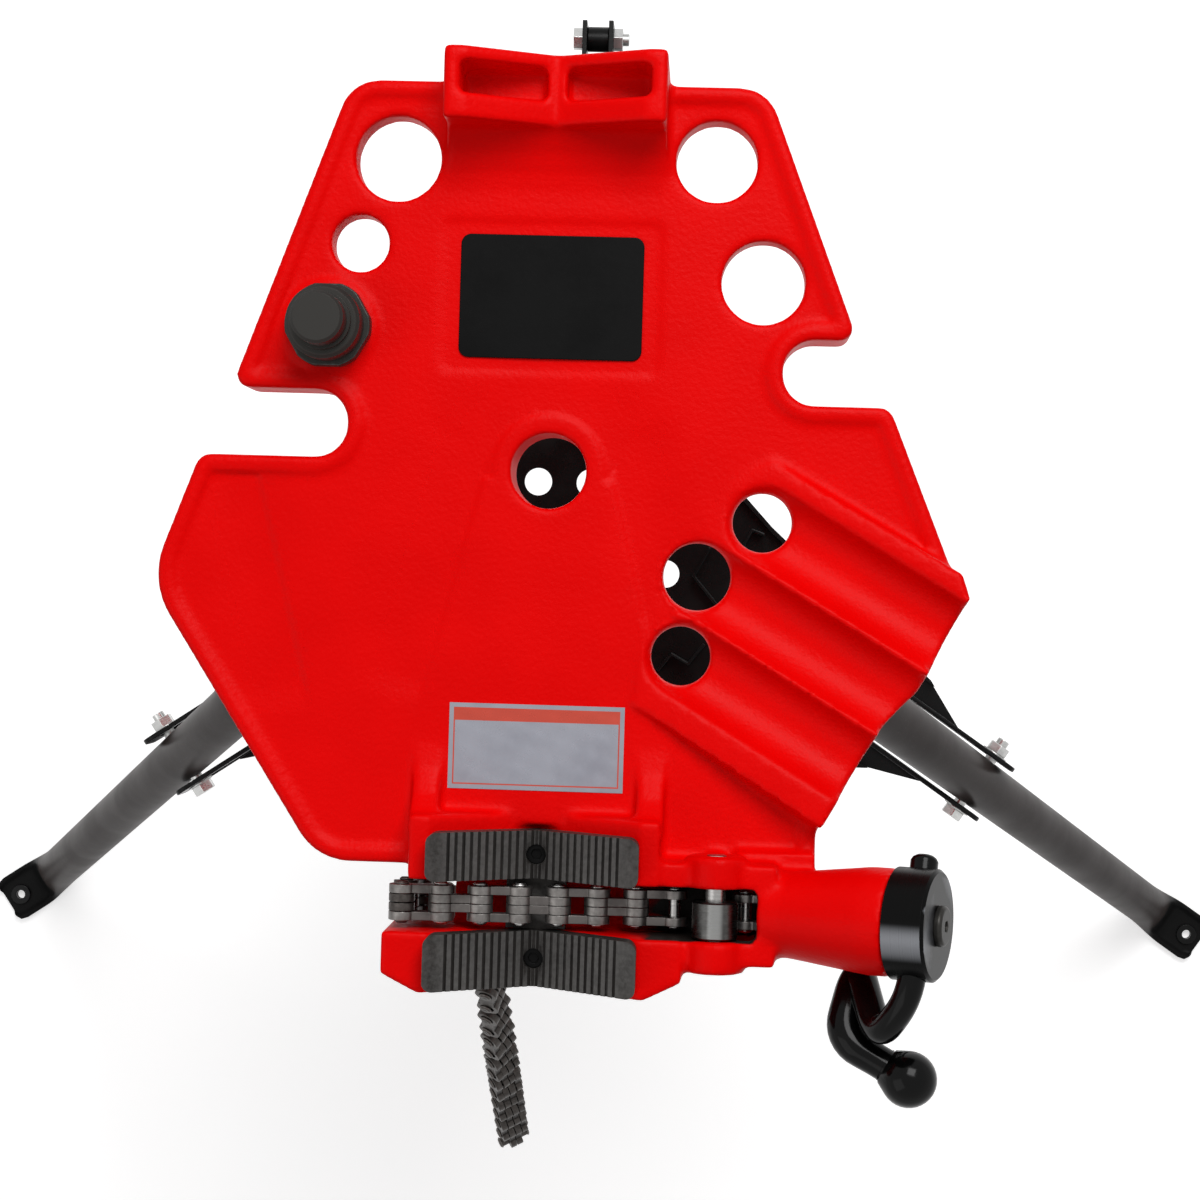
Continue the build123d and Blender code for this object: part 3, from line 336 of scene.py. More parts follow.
def turned_metal(name, base, bright, metallic, rough, axis, rings=900.0, painted_highlight=None):
    """Metal turned on a lathe about an axis, brighter on its worn edges, with a painted highlight where its
    normal faces a given direction.
    """
    material, shader = finish(name, metallic=metallic, specular=0.05)
    tree = material.node_tree
    worn_and_lit_edges = place_group(material, EDGE_WEAR_AND_HIGHLIGHT, {"Breakup": 300.0, "Start": 0.55, "End": 0.68})
    lathe = place_group(material, TURNED, {"Axis": axis, "Rings": rings})
    dull = tuple(channel * 0.55 for channel in base)
    body = mix_colour(material, lathe["Rings"], base, dull)
    # Painted highlight: the colour turns bright where the surface's world normal faces the given direction.
    if painted_highlight:
        facing = tree.nodes.new("ShaderNodeVectorMath")
        facing.operation = "DOT_PRODUCT"
        facing.inputs[1].default_value = Vector(painted_highlight).normalized()
        tree.links.new(tree.nodes.new("ShaderNodeNewGeometry").outputs["Normal"], facing.inputs[0])
        body = mix_colour(material, ramp(tree, facing.outputs["Value"], 0.92, 1.0), body, bright)
    colour = mix_colour(material, worn_and_lit_edges["Mask"], body, bright)
    tree.links.new(colour, shader.inputs["Base Color"])
    spread(material, shader, lathe["Rings"], *rough)
    add_bump(material, shader, lathe["Rings"], 0.00008, 0.3)
    return material


def gloss_paint(name, base, rough, specular, wave=40.0, bump=0.0002):
    """Dark gloss paint with slight orange peel and faint dust."""
    material, shader = finish(name, roughness=rough, specular=specular)
    marks = place_group(material, HANDLING, {"Blotch": 30.0, "Speck": 1500.0})
    skin = place_group(material, CAST_SKIN, {"Pebble": 300.0, "Wave": wave, "Wave Share": 1.0})
    dusty = tuple(channel * 1.6 + 0.004 for channel in base)
    colour = mix_colour(material, math(material.node_tree, "MULTIPLY", marks["Specks"], 0.4), base, dusty)
    material.node_tree.links.new(colour, shader.inputs["Base Color"])
    spread(material, shader, marks["Blotches"], rough * 0.8, rough * 1.3)
    add_bump(material, shader, skin["Height"], bump, 0.15)
    return material


def leg_paint():
    """Grey leg paint that runs into the black of the foot by the Dip of the surface."""
    material, shader = finish("leg_paint", roughness=0.36, specular=0.03)
    tree = material.node_tree
    marks = place_group(material, HANDLING, {"Blotch": 18.0, "Speck": 1100.0})
    skin = place_group(material, CAST_SKIN, {"Pebble": 300.0, "Wave": 45.0, "Wave Share": 1.0})
    dip = tree.nodes.new("ShaderNodeAttribute")
    dip.attribute_name = "Dip"
    grey = mix_colour(material, marks["Blotches"], (0.034, 0.0265, 0.0245), (0.029, 0.0225, 0.021))
    specked = mix_colour(material, math(tree, "MULTIPLY", marks["Specks"], 0.4), grey, (0.09, 0.085, 0.08))
    edge = math(tree, "ADD", dip.outputs["Fac"], math(tree, "MULTIPLY", skin["Tone"], 0.3))
    colour = mix_colour(material, ramp(tree, edge, 0.45, 0.85), specked, (0.009, 0.009, 0.009))
    tree.links.new(colour, shader.inputs["Base Color"])
    spread(material, shader, marks["Blotches"], 0.33, 0.4)
    add_bump(material, shader, skin["Height"], 0.0002, 0.12)
    return material


LABEL_INSET = 2.2
LABEL_LINE = 0.7
LABEL_BAND = 6.5
LABEL_BLUR = 0.1


def label_film():
    """Silver label film with a thin line round it and one plain band of colour along its rear edge."""
    material, shader = finish("label_film", metallic=0.35, roughness=0.32, coat=0.3)
    tree = material.node_tree
    marks = place_group(material, HANDLING, {"Blotch": 45.0, "Speck": 1300.0})
    shift = tree.nodes.new("ShaderNodeMapping")
    shift.vector_type = "TEXTURE"
    shift.inputs["Location"].default_value = hub(*LABEL_AT, 0.0)
    tree.links.new(tree.nodes.new("ShaderNodeTexCoord").outputs["Object"], shift.inputs["Vector"])
    split = tree.nodes.new("ShaderNodeSeparateXYZ")
    tree.links.new(shift.outputs["Vector"], split.inputs["Vector"])
    half_x, half_y = (size / 2 * MM for size in LABEL_SIZE[:2])
    side = math(tree, "SUBTRACT", half_x, math(tree, "ABSOLUTE", split.outputs["X"]))
    end = math(tree, "SUBTRACT", half_y, math(tree, "ABSOLUTE", split.outputs["Y"]))
    inset = math(tree, "MINIMUM", side, end)
    inside = ramp(tree, inset, (LABEL_INSET - LABEL_BLUR) * MM, (LABEL_INSET + LABEL_BLUR) * MM)
    line_end = LABEL_INSET + LABEL_LINE
    past = ramp(tree, inset, (line_end - LABEL_BLUR) * MM, (line_end + LABEL_BLUR) * MM)
    band_edge = half_y - (LABEL_INSET + LABEL_BAND) * MM
    band = ramp(tree, split.outputs["Y"], band_edge - LABEL_BLUR * MM, band_edge + LABEL_BLUR * MM)
    printed = math(tree, "MULTIPLY", inside, math(tree, "MAXIMUM", math(tree, "SUBTRACT", 1.0, past), band))
    film = mix_colour(material, marks["Blotches"], (0.3, 0.305, 0.35), (0.235, 0.24, 0.28))
    colour = mix_colour(material, printed, film, (0.5, 0.045, 0.02))
    tree.links.new(colour, shader.inputs["Base Color"])
    spread(material, shader, marks["Blotches"], 0.25, 0.4)
    return material


SCREW_DIR = (cos(SCREW_TILT), 0.0, sin(SCREW_TILT))
MATERIALS = {
    "red_enamel": red_enamel(),
    "plate_black": gloss_paint("plate_black", (0.003, 0.003, 0.003), 0.4, 0.06),
    "label_silver": label_film(),
    "jaw_black": worn_metal(
        "jaw_black", (0.03, 0.027, 0.025), (0.17, 0.165, 0.16), 0.5, (0.42, 0.58), (0.53, 0.64)),
    "dark_steel": turned_metal(
        "dark_steel", (0.045, 0.043, 0.04), (0.22, 0.22, 0.22), 0.6, (0.34, 0.46), (0, 0, 1)),
    "bright_steel": turned_metal(
        "bright_steel", (0.42, 0.41, 0.4), (0.8, 0.79, 0.77), 1.0, (0.22, 0.36), (0, 1, 0)),
    "chain_steel": worn_metal(
        "chain_steel", (0.115, 0.105, 0.1), (0.36, 0.345, 0.33), 0.9, (0.32, 0.46), (0.52, 0.63)),
    "gloss_black": gloss_paint("gloss_black", (0.0015, 0.0015, 0.0015), 0.14, 0.12),
    "zinc": worn_metal("zinc", (0.5, 0.5, 0.49), (0.8, 0.8, 0.79), 1.0, (0.22, 0.38), (0.52, 0.64)),
    "leg_grey": leg_paint(),
    "tray_black": gloss_paint("tray_black", (0.003, 0.003, 0.003), 0.28, 0.12),
}
TAIL_STEEL = worn_metal(
    "tail_steel", (0.02, 0.016, 0.014), (0.17, 0.155, 0.145), 0.7, (0.36, 0.52), (0.52, 0.62))
# The cap's last argument is a painted highlight: bright where the cap faces nearly straight up.
CAP_BLACK = turned_metal(
    "cap_black", (0.006, 0.006, 0.006), (0.2, 0.205, 0.22), 0.3, (0.24, 0.34), SCREW_DIR, 1400.0,
    (-0.2, -0.25, 0.9))
# The roller's last argument is a painted highlight: a bright streak along the top of the ring, where it faces
# straight up.
ROLLER_STEEL = turned_metal(
    "roller_steel", (0.045, 0.043, 0.041), (0.24, 0.24, 0.235), 1.0, (0.22, 0.34), (0, 1, 0), 900.0,
    (0.0, 0.0, 1.0))


def dress(piece, material):
    """One material on a whole piece."""
    piece.data.materials.clear()
    piece.data.materials.append(material)
    for face in piece.data.polygons:
        face.material_index = 0


for node, part in frame["nodes"].items():
    dress(part, MATERIALS[SLOT_OF[node]])


# Making of pieces
MERGE = 2e-6
FLAT_ANGLE = radians(0.5)


def link(name, mesh):
    """A new object at the origin for a finished mesh."""
    piece = bpy.data.objects.new(name, mesh)
    bpy.context.scene.collection.objects.link(piece)
    return piece


def plain_mesh(piece):
    """The piece's evaluated mesh in place of its modifiers."""
    seen = piece.evaluated_get(bpy.context.evaluated_depsgraph_get())
    mesh = bpy.data.meshes.new_from_object(seen)
    piece.modifiers.clear()
    piece.data = mesh
    return piece


def shade(piece, angle=40.0):
    """Smooth faces with sharp creases, and even normals."""
    for face in piece.data.polygons:
        face.use_smooth = True
    piece.data.set_sharp_from_angle(angle=radians(angle))
    weigh = piece.modifiers.new("even", "WEIGHTED_NORMAL")
    weigh.keep_sharp = True
    return plain_mesh(piece)


def merged_bmesh(node):
    """A CAD node's mesh with its points merged."""
    bm = bmesh.new()
    bm.from_mesh(frame["nodes"][node].data)
    bmesh.ops.remove_doubles(bm, verts=bm.verts, dist=MERGE)
    return bm


def mesh_of(bm, name):
    """A mesh from a bmesh, which is freed."""
    mesh = bpy.data.meshes.new(name)
    bm.to_mesh(mesh)
    bm.free()
    return mesh


def stand_for(piece, *nodes):
    """The piece takes its nodes' place and body and, where it has no finish, the finish of their slot."""
    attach(piece, BODY_OF[nodes[0]])
    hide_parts(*nodes)
    if not piece.data.materials:
        dress(piece, MATERIALS[SLOT_OF[nodes[0]]])


def add_to(piece, body, slot):
    """A new piece on a body, with a slot's finish."""
    dress(piece, MATERIALS[slot])
    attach(piece, body)


def rounded(piece, width, steps=2, angle=32.0):
    """Edges rounded by a width in millimetres."""
    bevel = piece.modifiers.new("round", "BEVEL")
    bevel.width = width * MM
    bevel.segments = steps
    bevel.limit_method = "ANGLE"
    bevel.angle_limit = radians(angle)
    bevel.use_clamp_overlap = True
    bevel.miter_outer = "MITER_ARC"
    plain_mesh(piece)
    return shade(piece)


def softened(node, width, material=None):
    """A node again with its flat faces joined and its edges rounded."""
    bm = merged_bmesh(node)
    bmesh.ops.dissolve_limit(bm, angle_limit=FLAT_ANGLE, verts=bm.verts, edges=bm.edges)
    piece = rounded(link(f"{node}_soft", mesh_of(bm, f"{node}_soft")), width)
    dress(piece, material or MATERIALS[SLOT_OF[node]])
    stand_for(piece, node)
    return piece


def lofted(name, rings):
    """A closed skin through rings of points, with flat ends."""
    bm = bmesh.new()
    rows = [[bm.verts.new(point) for point in ring] for ring in rings]
    count = len(rows[0])
    for row, after in zip(rows, rows[1:]):
        for index in range(count):
            beside = (index + 1) % count
            bm.faces.new((row[index], row[beside], after[beside], after[index]))
    bm.faces.new(list(reversed(rows[0])))
    bm.faces.new(rows[-1])
    bmesh.ops.recalc_face_normals(bm, faces=bm.faces)
    return link(name, mesh_of(bm, name))


def smoothstep(value, low=0.0, high=1.0):
    """A smooth rise from 0 at low to 1 at high."""
    share = min(max((value - low) / (high - low), 0.0), 1.0)
    return share * share * (3.0 - 2.0 * share)


# Geometry node trees
def node_tree(name, inputs):
    """An empty geometry tree with named inputs, its input node and its output node."""
    tree = bpy.data.node_groups.new(name, "GeometryNodeTree")
    for label, kind in inputs.items():
        tree.interface.new_socket(label, in_out="INPUT", socket_type=f"NodeSocket{kind}")
    tree.interface.new_socket("Geometry", in_out="OUTPUT", socket_type="NodeSocketGeometry")
    return tree, tree.nodes.new("NodeGroupInput").outputs, tree.nodes.new("NodeGroupOutput").inputs


def grown(name, start, tree, values):
    """A plain piece grown by a tree on a start mesh."""
    piece = link(name, start)
    grow = piece.modifiers.new("grow", "NODES")
    grow.node_group = tree
    for item in tree.interface.items_tree:
        if item.in_out == "INPUT" and item.name in values:
            grow[item.identifier] = values[item.name]
    return plain_mesh(piece)


def end_tree(tree, geometry, material, out):
    """Real geometry, smooth and with its material, at the end of a tree."""
    real = tree.nodes.new("GeometryNodeRealizeInstances")
    even = tree.nodes.new("GeometryNodeSetShadeSmooth")
    paint = tree.nodes.new("GeometryNodeSetMaterial")
    tree.links.new(geometry, real.inputs["Geometry"])
    tree.links.new(real.outputs["Geometry"], even.inputs["Geometry"])
    tree.links.new(even.outputs["Geometry"], paint.inputs["Geometry"])
    tree.links.new(material, paint.inputs["Material"])
    tree.links.new(paint.outputs["Geometry"], out["Geometry"])


def thread_tree():
    """An upright screw thread: a spiral ridge on a core."""
    tree, given, out = node_tree("Screw Thread", {
        "Geometry": "Geometry", "Place": "Vector", "Core": "Float", "Depth": "Float", "Lead": "Float",
        "Length": "Float", "Material": "Material"})
    turns = tree.nodes.new("ShaderNodeMath")
    turns.operation = "DIVIDE"
    tree.links.new(given["Length"], turns.inputs[0])
    tree.links.new(given["Lead"], turns.inputs[1])
    spiral = tree.nodes.new("GeometryNodeCurveSpiral")
    spiral.inputs["Resolution"].default_value = 28
    tree.links.new(turns.outputs[0], spiral.inputs["Rotations"])
    tree.links.new(given["Core"], spiral.inputs["Start Radius"])
    tree.links.new(given["Core"], spiral.inputs["End Radius"])
    tree.links.new(given["Length"], spiral.inputs["Height"])
    profile = tree.nodes.new("GeometryNodeCurvePrimitiveCircle")
    profile.inputs["Resolution"].default_value = 6
    tree.links.new(given["Depth"], profile.inputs["Radius"])
    ridge = tree.nodes.new("GeometryNodeCurveToMesh")
    ridge.inputs["Fill Caps"].default_value = True
    tree.links.new(spiral.outputs["Curve"], ridge.inputs["Curve"])
    tree.links.new(profile.outputs["Curve"], ridge.inputs["Profile Curve"])
    core = tree.nodes.new("GeometryNodeMeshCylinder")
    core.inputs["Vertices"].default_value = 40
    tree.links.new(given["Core"], core.inputs["Radius"])
    tree.links.new(given["Length"], core.inputs["Depth"])
    rise = tree.nodes.new("ShaderNodeCombineXYZ")
    half = tree.nodes.new("ShaderNodeMath")
    half.operation = "DIVIDE"
    half.inputs[1].default_value = 2.0
    tree.links.new(given["Length"], half.inputs[0])
    tree.links.new(half.outputs[0], rise.inputs["Z"])
    lift = tree.nodes.new("GeometryNodeTransform")
    tree.links.new(core.outputs["Mesh"], lift.inputs["Geometry"])
    tree.links.new(rise.outputs["Vector"], lift.inputs["Translation"])
    both = tree.nodes.new("GeometryNodeJoinGeometry")
    tree.links.new(ridge.outputs["Mesh"], both.inputs["Geometry"])
    tree.links.new(lift.outputs["Geometry"], both.inputs["Geometry"])
    place = tree.nodes.new("GeometryNodeTransform")
    tree.links.new(both.outputs["Geometry"], place.inputs["Geometry"])
    tree.links.new(given["Place"], place.inputs["Translation"])
    end_tree(tree, place.outputs["Geometry"], given["Material"], out)
    return tree


def rivet_tree():
    """A domed head at every point of a mesh, along the point's own axis."""
    tree, given, out = node_tree("Rivet Heads", {
        "Geometry": "Geometry", "Width": "Float", "Height": "Float", "Material": "Material"})
    ball = tree.nodes.new("GeometryNodeMeshUVSphere")
    ball.inputs["Segments"].default_value = 14
    ball.inputs["Rings"].default_value = 8
    ball.inputs["Radius"].default_value = 1.0
    size = tree.nodes.new("ShaderNodeCombineXYZ")
    for axis, label in (("X", "Width"), ("Y", "Width"), ("Z", "Height")):
        tree.links.new(given[label], size.inputs[axis])
    flat = tree.nodes.new("GeometryNodeTransform")
    tree.links.new(ball.outputs["Mesh"], flat.inputs["Geometry"])
    tree.links.new(size.outputs["Vector"], flat.inputs["Scale"])
    axis = tree.nodes.new("GeometryNodeInputNamedAttribute")
    axis.data_type = "FLOAT_VECTOR"
    axis.inputs["Name"].default_value = "Axis"
    turn = tree.nodes.new("FunctionNodeAlignRotationToVector")
    tree.links.new(axis.outputs["Attribute"], turn.inputs["Vector"])
    heads = tree.nodes.new("GeometryNodeInstanceOnPoints")
    tree.links.new(given["Geometry"], heads.inputs["Points"])
    tree.links.new(flat.outputs["Geometry"], heads.inputs["Instance"])
    tree.links.new(turn.outputs["Rotation"], heads.inputs["Rotation"])
    end_tree(tree, heads.outputs["Instances"], given["Material"], out)
    return tree


THREAD = thread_tree()
RIVETS = rivet_tree()


# Table casting
CAST_VOXEL = 1.8
CAST_RUN = 6
CAST_FACES = 195000
STEP = 1.3
STEP_WIDTH = 2.6
STEP_FADE = 45.0
FADE_FROM = 12.0
CREASE_START = (-14.0, 4.0)
CREASE_END = (-6.0, 14.0)
BOSS_FADE_FROM = 9.0
BOSS_FRONT = -4.0
RUN_FACTOR = 0.5
DECK_BAND = 1.6
FACING_UP = 0.9
CREASES = [
    ((-58.0, -110.0), (-26.0, 16.0)),
    ((26.0, 16.0), (58.0, -110.0)),
    ((-118.0, -111.0), (-146.0, -1.0)),
]


def crease_drop(x, y):
    """How far the deck drops at a place: beside the webs that run from the hub, and round the hub's boss."""
    drop = 0.0
    for start, end in CREASES:
        run_x, run_y = end[0] - start[0], end[1] - start[1]
        length = (run_x ** 2 + run_y ** 2) ** 0.5
        along = ((x - start[0]) * run_x + (y - start[1]) * run_y) / length
        left = (run_x * (y - start[1]) - run_y * (x - start[0])) / length
        if left <= 0.0 or left > STEP_FADE:
            continue
        tail = 1.0 - smoothstep(along, length + CREASE_END[0], length + CREASE_END[1])
        ends = smoothstep(along, *CREASE_START) * tail
        fade = 1.0 - smoothstep(left, FADE_FROM, STEP_FADE)
        drop = max(drop, ends * smoothstep(left, 0.0, STEP_WIDTH) * fade)
    reach = (x * x + y * y) ** 0.5
    if y > BOSS_FRONT:
        ring = smoothstep(reach, HUB_BOSS_R, HUB_BOSS_R + STEP_WIDTH)
        fade = 1.0 - smoothstep(reach, HUB_BOSS_R + BOSS_FADE_FROM, HUB_BOSS_R + STEP_FADE)
        drop = max(drop, ring * fade)
    return drop * STEP


SLOT_X = (56.0, 113.0)
SLOT_HALF = 13.6
SLOT_TOP = 883.0


def in_slot(place):
    """1 on the walls of the roller's slot, which the enamel colours near black."""
    x, y, z = place.x / MM, (place.y - HUB_Y) / MM, place.z / MM
    return float(SLOT_X[0] < x < SLOT_X[1] and abs(y - CHAIN_Y) < SLOT_HALF and z < SLOT_TOP)


def soft_casting():
    """The table with the rounded edges and run-out corners of a sand casting."""
    piece = link("table_cast", mesh_of(merged_bmesh("table_casting"), "table_cast"))
    remesh = piece.modifiers.new("sand", "REMESH")
    remesh.mode = "VOXEL"
    remesh.voxel_size = CAST_VOXEL * MM
    smooth = piece.modifiers.new("run", "SMOOTH")
    smooth.factor = RUN_FACTOR
    smooth.iterations = CAST_RUN
    plain_mesh(piece)
    count = len(piece.data.vertices)
    places, normals = np.empty(count * 3), np.empty(count * 3)
    piece.data.vertices.foreach_get("co", places)
    piece.data.vertex_normals.foreach_get("vector", normals)
    places, normals = places.reshape(-1, 3), normals.reshape(-1, 3)
    on_deck = (np.abs(places[:, 2] / MM - DECK_Z) < DECK_BAND) & (normals[:, 2] > FACING_UP)
    for index in np.flatnonzero(on_deck):
        places[index, 2] -= crease_drop(places[index, 0] / MM, (places[index, 1] - HUB_Y) / MM) * MM
    piece.data.vertices.foreach_set("co", places.ravel())
    piece.data.update()
    count = sum(len(face.vertices) - 2 for face in piece.data.polygons)
    if count > CAST_FACES:
        thin = piece.modifiers.new("thin", "DECIMATE")
        thin.ratio = CAST_FACES / count
        plain_mesh(piece)
    for face in piece.data.polygons:
        face.use_smooth = True
    # Mark the walls of the roller's slot, which the enamel colours near black.
    slot_dark = piece.data.attributes.new("SlotDark", "FLOAT", "POINT")
    slot_dark.data.foreach_set("value", [in_slot(vertex.co) for vertex in piece.data.vertices])
    piece.data.materials.clear()
    stand_for(piece, "table_casting")


soft_casting()


# Legs with their pressed feet
LEG_SIDES = 40
BEND_ABOVE = 58.0
BEND_STEPS = 12
TUBE_MOUTH = 4.0
TUBE_SHARES = (0.4, 0.7)
BEND_RUN_IN = 30.0
FLATTEN_SPAN = (0.0, 0.95)
DISH_SPAN = (0.5, 1.0)
DIP_SPAN = (0.15, 0.8)
DISH_WALL = 2.0
DISH_HOLLOW = 4.0
DISH_SIDE_POWER = 0.6
DISH_RIM_POWER = 0.4
BEND_AT = (-3.0, 7.0)
FLAT_AT = 15.0
FOOT_ROWS = [(24.0, 19.0), (33.0, 19.0), (38.0, 17.6), (FOOT_LENGTH, 14.0)]


def dish_point(turn, half):
    """Across and height, in millimetres, on the section of the upturned foot at a turn round it."""
    u, v = cos(turn), sin(turn)
    across = half * (abs(u) ** DISH_SIDE_POWER) * (1 if u >= 0 else -1)
    rim = FOOT_LIP / 2 * (1 + (abs(v) ** DISH_RIM_POWER) * (1 if v >= 0 else -1))
    if v > 0:
        hollow = smoothstep(half - DISH_WALL - abs(across), 0.0, DISH_HOLLOW)
        rim = min(rim, FOOT_LIP - (FOOT_LIP - FOOT_FLOOR) * hollow)
    return across, rim


def leg_rings(azimuth, radius, splay):
    """Rings of points down the tube, over the bend and along the foot, with the dip of each."""
    angle, lean = radians(azimuth), radians(splay)
    out, side = (cos(angle), sin(angle)), (-sin(angle), cos(angle))
    end = radius + HINGE_Z * tan(lean)
    length = HINGE_Z / cos(lean)

    def place(reach, height, across):
        return hub(out[0] * reach + side[0] * across, out[1] * reach + side[1] * across, height)

    def tube_at(along):
        return radius + sin(lean) * along, HINGE_Z - cos(lean) * along

    rows = []
    turns = [index / LEG_SIDES * tau for index in range(LEG_SIDES)]
    middle = [length * share for share in TUBE_SHARES]
    for along in (TUBE_START, TUBE_START + TUBE_MOUTH, *middle, length - BEND_ABOVE - BEND_RUN_IN):
        reach, height = tube_at(along)
        rows.append((0.0, [place(reach + cos(lean) * TUBE_R * sin(t), height + sin(lean) * TUBE_R * sin(t),
                                 TUBE_R * cos(t)) for t in turns]))
    start = tube_at(length - BEND_ABOVE)
    bend, flat = (end + BEND_AT[0], BEND_AT[1]), (end + FLAT_AT, FOOT_LIP / 2)
    for step in range(BEND_STEPS + 1):
        t = step / BEND_STEPS
        shares = ((1 - t) ** 2, 2 * t * (1 - t), t * t)
        reach, height = (shares[0] * a + shares[1] * b + shares[2] * c for a, b, c in zip(start, bend, flat))
        tilt = lean + (radians(90.0) - lean) * smoothstep(t)
        wide = TUBE_R + (FOOT_HALF - TUBE_R) * smoothstep(t)
        tall = TUBE_R + (FOOT_LIP / 2 - TUBE_R) * smoothstep(t, *FLATTEN_SPAN)
        share = smoothstep(t, *DISH_SPAN)
        ring = []
        for turn in turns:
            up = tall * sin(turn)
            round_point = place(reach + cos(tilt) * up, height + sin(tilt) * up, wide * cos(turn))
            across, rise = dish_point(turn, wide)
            ring.append(round_point.lerp(place(reach, rise, across), share))
        rows.append((smoothstep(t, *DIP_SPAN), ring))
    for past, half in FOOT_ROWS:
        section = [dish_point(t, half) for t in turns]
        rows.append((1.0, [place(end + past, rise, across) for across, rise in section]))
    return rows, place(end + FOOT_HOLE_AT, 0.0, 0.0)


def leg(side):
    """A leg's tube and foot as one bent and pressed piece, with the hole in the foot."""
    rows, hole = leg_rings(*LEGS[side])
    piece = lofted(f"{side}_leg", [ring for dip, ring in rows])
    dips = [dip for dip, ring in rows for point in ring]
    values = piece.data.attributes.new("Dip", "FLOAT", "POINT")
    values.data.foreach_set("value", dips)
    drill = link("drill", mesh_of(bmesh.new(), "drill"))
    bm = bmesh.new()
    width = FOOT_HOLE_R * MM
    bmesh.ops.create_cone(bm, cap_ends=True, segments=DRILL_SIDES, radius1=width, radius2=width,
                          depth=DRILL_DEPTH * MM, matrix=Matrix.Translation(hole))
    bm.to_mesh(drill.data)
    bm.free()
    cut = piece.modifiers.new("hole", "BOOLEAN")
    cut.object = drill
    cut.solver = "EXACT"
    plain_mesh(piece)
    bpy.data.objects.remove(drill)
    shade(piece, 50.0)
    piece.data.materials.clear()
    stand_for(piece, f"{side}_leg_tube", f"{side}_foot")


for side in LEGS:
    leg(side)


# Crank
CRANK_STEPS = [(3.5, 33, -11), (-3.6, -33.8, 11.3), (-17, -57, -4), (-26, -27, -38), (-35, -60, -24),
               (-1, -78, -15)]
CRANK_BEND = 13.0
CRANK_RADII = [6.9, 6.9, 7.2, 8.3, 9.0, 8.2]
CRANK_STUB = [(0.0, 1.5), (0.5, 4.2), (1.6, 5.9), (3.4, 6.9)]
CRANK_BALL = 14.0
CRANK_SIDES = 28
GRIP_R = 8.2
GRIP_SHARES = (0.3, 0.55)
BALL_NECK = [(13.4, 8.6), (12.2, 9.4)]
BALL_STEPS = 12
BALL_START = 52.0
BALL_STEP = 10.5
CORNER_SHARE = 0.48
CORNER_STEPS = 8
WIDTH_SWEEPS = 3
LEAST_R = 0.4


def bent_path(corners, widths, bend):
    """Points and widths along straight runs with round bends between them."""
    points = [(corners[0], widths[0])]
    for before, at, after, width in zip(corners, corners[1:], corners[2:], widths[1:]):
        into = at + (before - at).normalized() * min(bend, (before - at).length * CORNER_SHARE)
        past = at + (after - at).normalized() * min(bend, (after - at).length * CORNER_SHARE)
        for step in range(CORNER_STEPS + 1):
            t = step / CORNER_STEPS
            points.append((into * (1 - t) ** 2 + at * 2 * t * (1 - t) + past * t * t, width))
    points.append((corners[-1], widths[-1]))
    return points


def crank_rings():
    """Rings of the crank bar, which grows towards its grip and runs into the ball."""
    x, z = ROLLER_AT
    start = Vector((x + CHAIN_UNDER * sin(SCREW_TILT), CHAIN_Y, z - CHAIN_UNDER * cos(SCREW_TILT)))
    middle = start + Vector(SCREW_DIR) * CAP_MIDDLE
    corners = [middle + Vector(step) for step in CRANK_STEPS]
    path = bent_path(corners, CRANK_RADII, CRANK_BEND)
    last, ball = path[-2][0], path[-1][0]
    line = (ball - last).normalized()
    inward = (corners[1] - corners[0]).normalized()
    path = [(corners[0] + inward * along, width) for along, width in CRANK_STUB] + path[1:-1]
    neck = (ball - last).length
    for share in GRIP_SHARES:
        path.append((last + line * neck * share, GRIP_R))
    path += [(ball - line * back, width) for back, width in BALL_NECK]
    for step in range(1, BALL_STEPS + 1):
        turn = radians(BALL_START + step * BALL_STEP)
        path.append((ball - line * CRANK_BALL * cos(turn), CRANK_BALL * sin(turn)))
    points = [point for point, width in path]
    smooth_widths = [width for point, width in path]
    grip_rings = len(GRIP_SHARES) + len(BALL_NECK) + BALL_STEPS
    for sweep in range(WIDTH_SWEEPS):
        for index in range(len(CRANK_STUB) + 1, len(path) - grip_rings):
            smooth_widths[index] = sum(smooth_widths[index - 1:index + 2]) / 3
    rings = []
    across = None
    for index, point in enumerate(points):
        ahead = (points[min(index + 1, len(points) - 1)] - points[max(index - 1, 0)]).normalized()
        if across is None:
            across = ahead.orthogonal().normalized()
        across = (across - ahead * across.dot(ahead)).normalized()
        up = ahead.cross(across)
        width = max(smooth_widths[index], LEAST_R)
        rings.append([hub(*(point + (across * cos(t) + up * sin(t)) * width))
                      for t in (step / CRANK_SIDES * tau for step in range(CRANK_SIDES))])
    return rings


def crank():
    """The bent crank bar with its ball."""
    piece = lofted("crank_bar", crank_rings())
    shade(piece, 60.0)
    piece.data.materials.clear()
    stand_for(piece, "crank_handle")


crank()


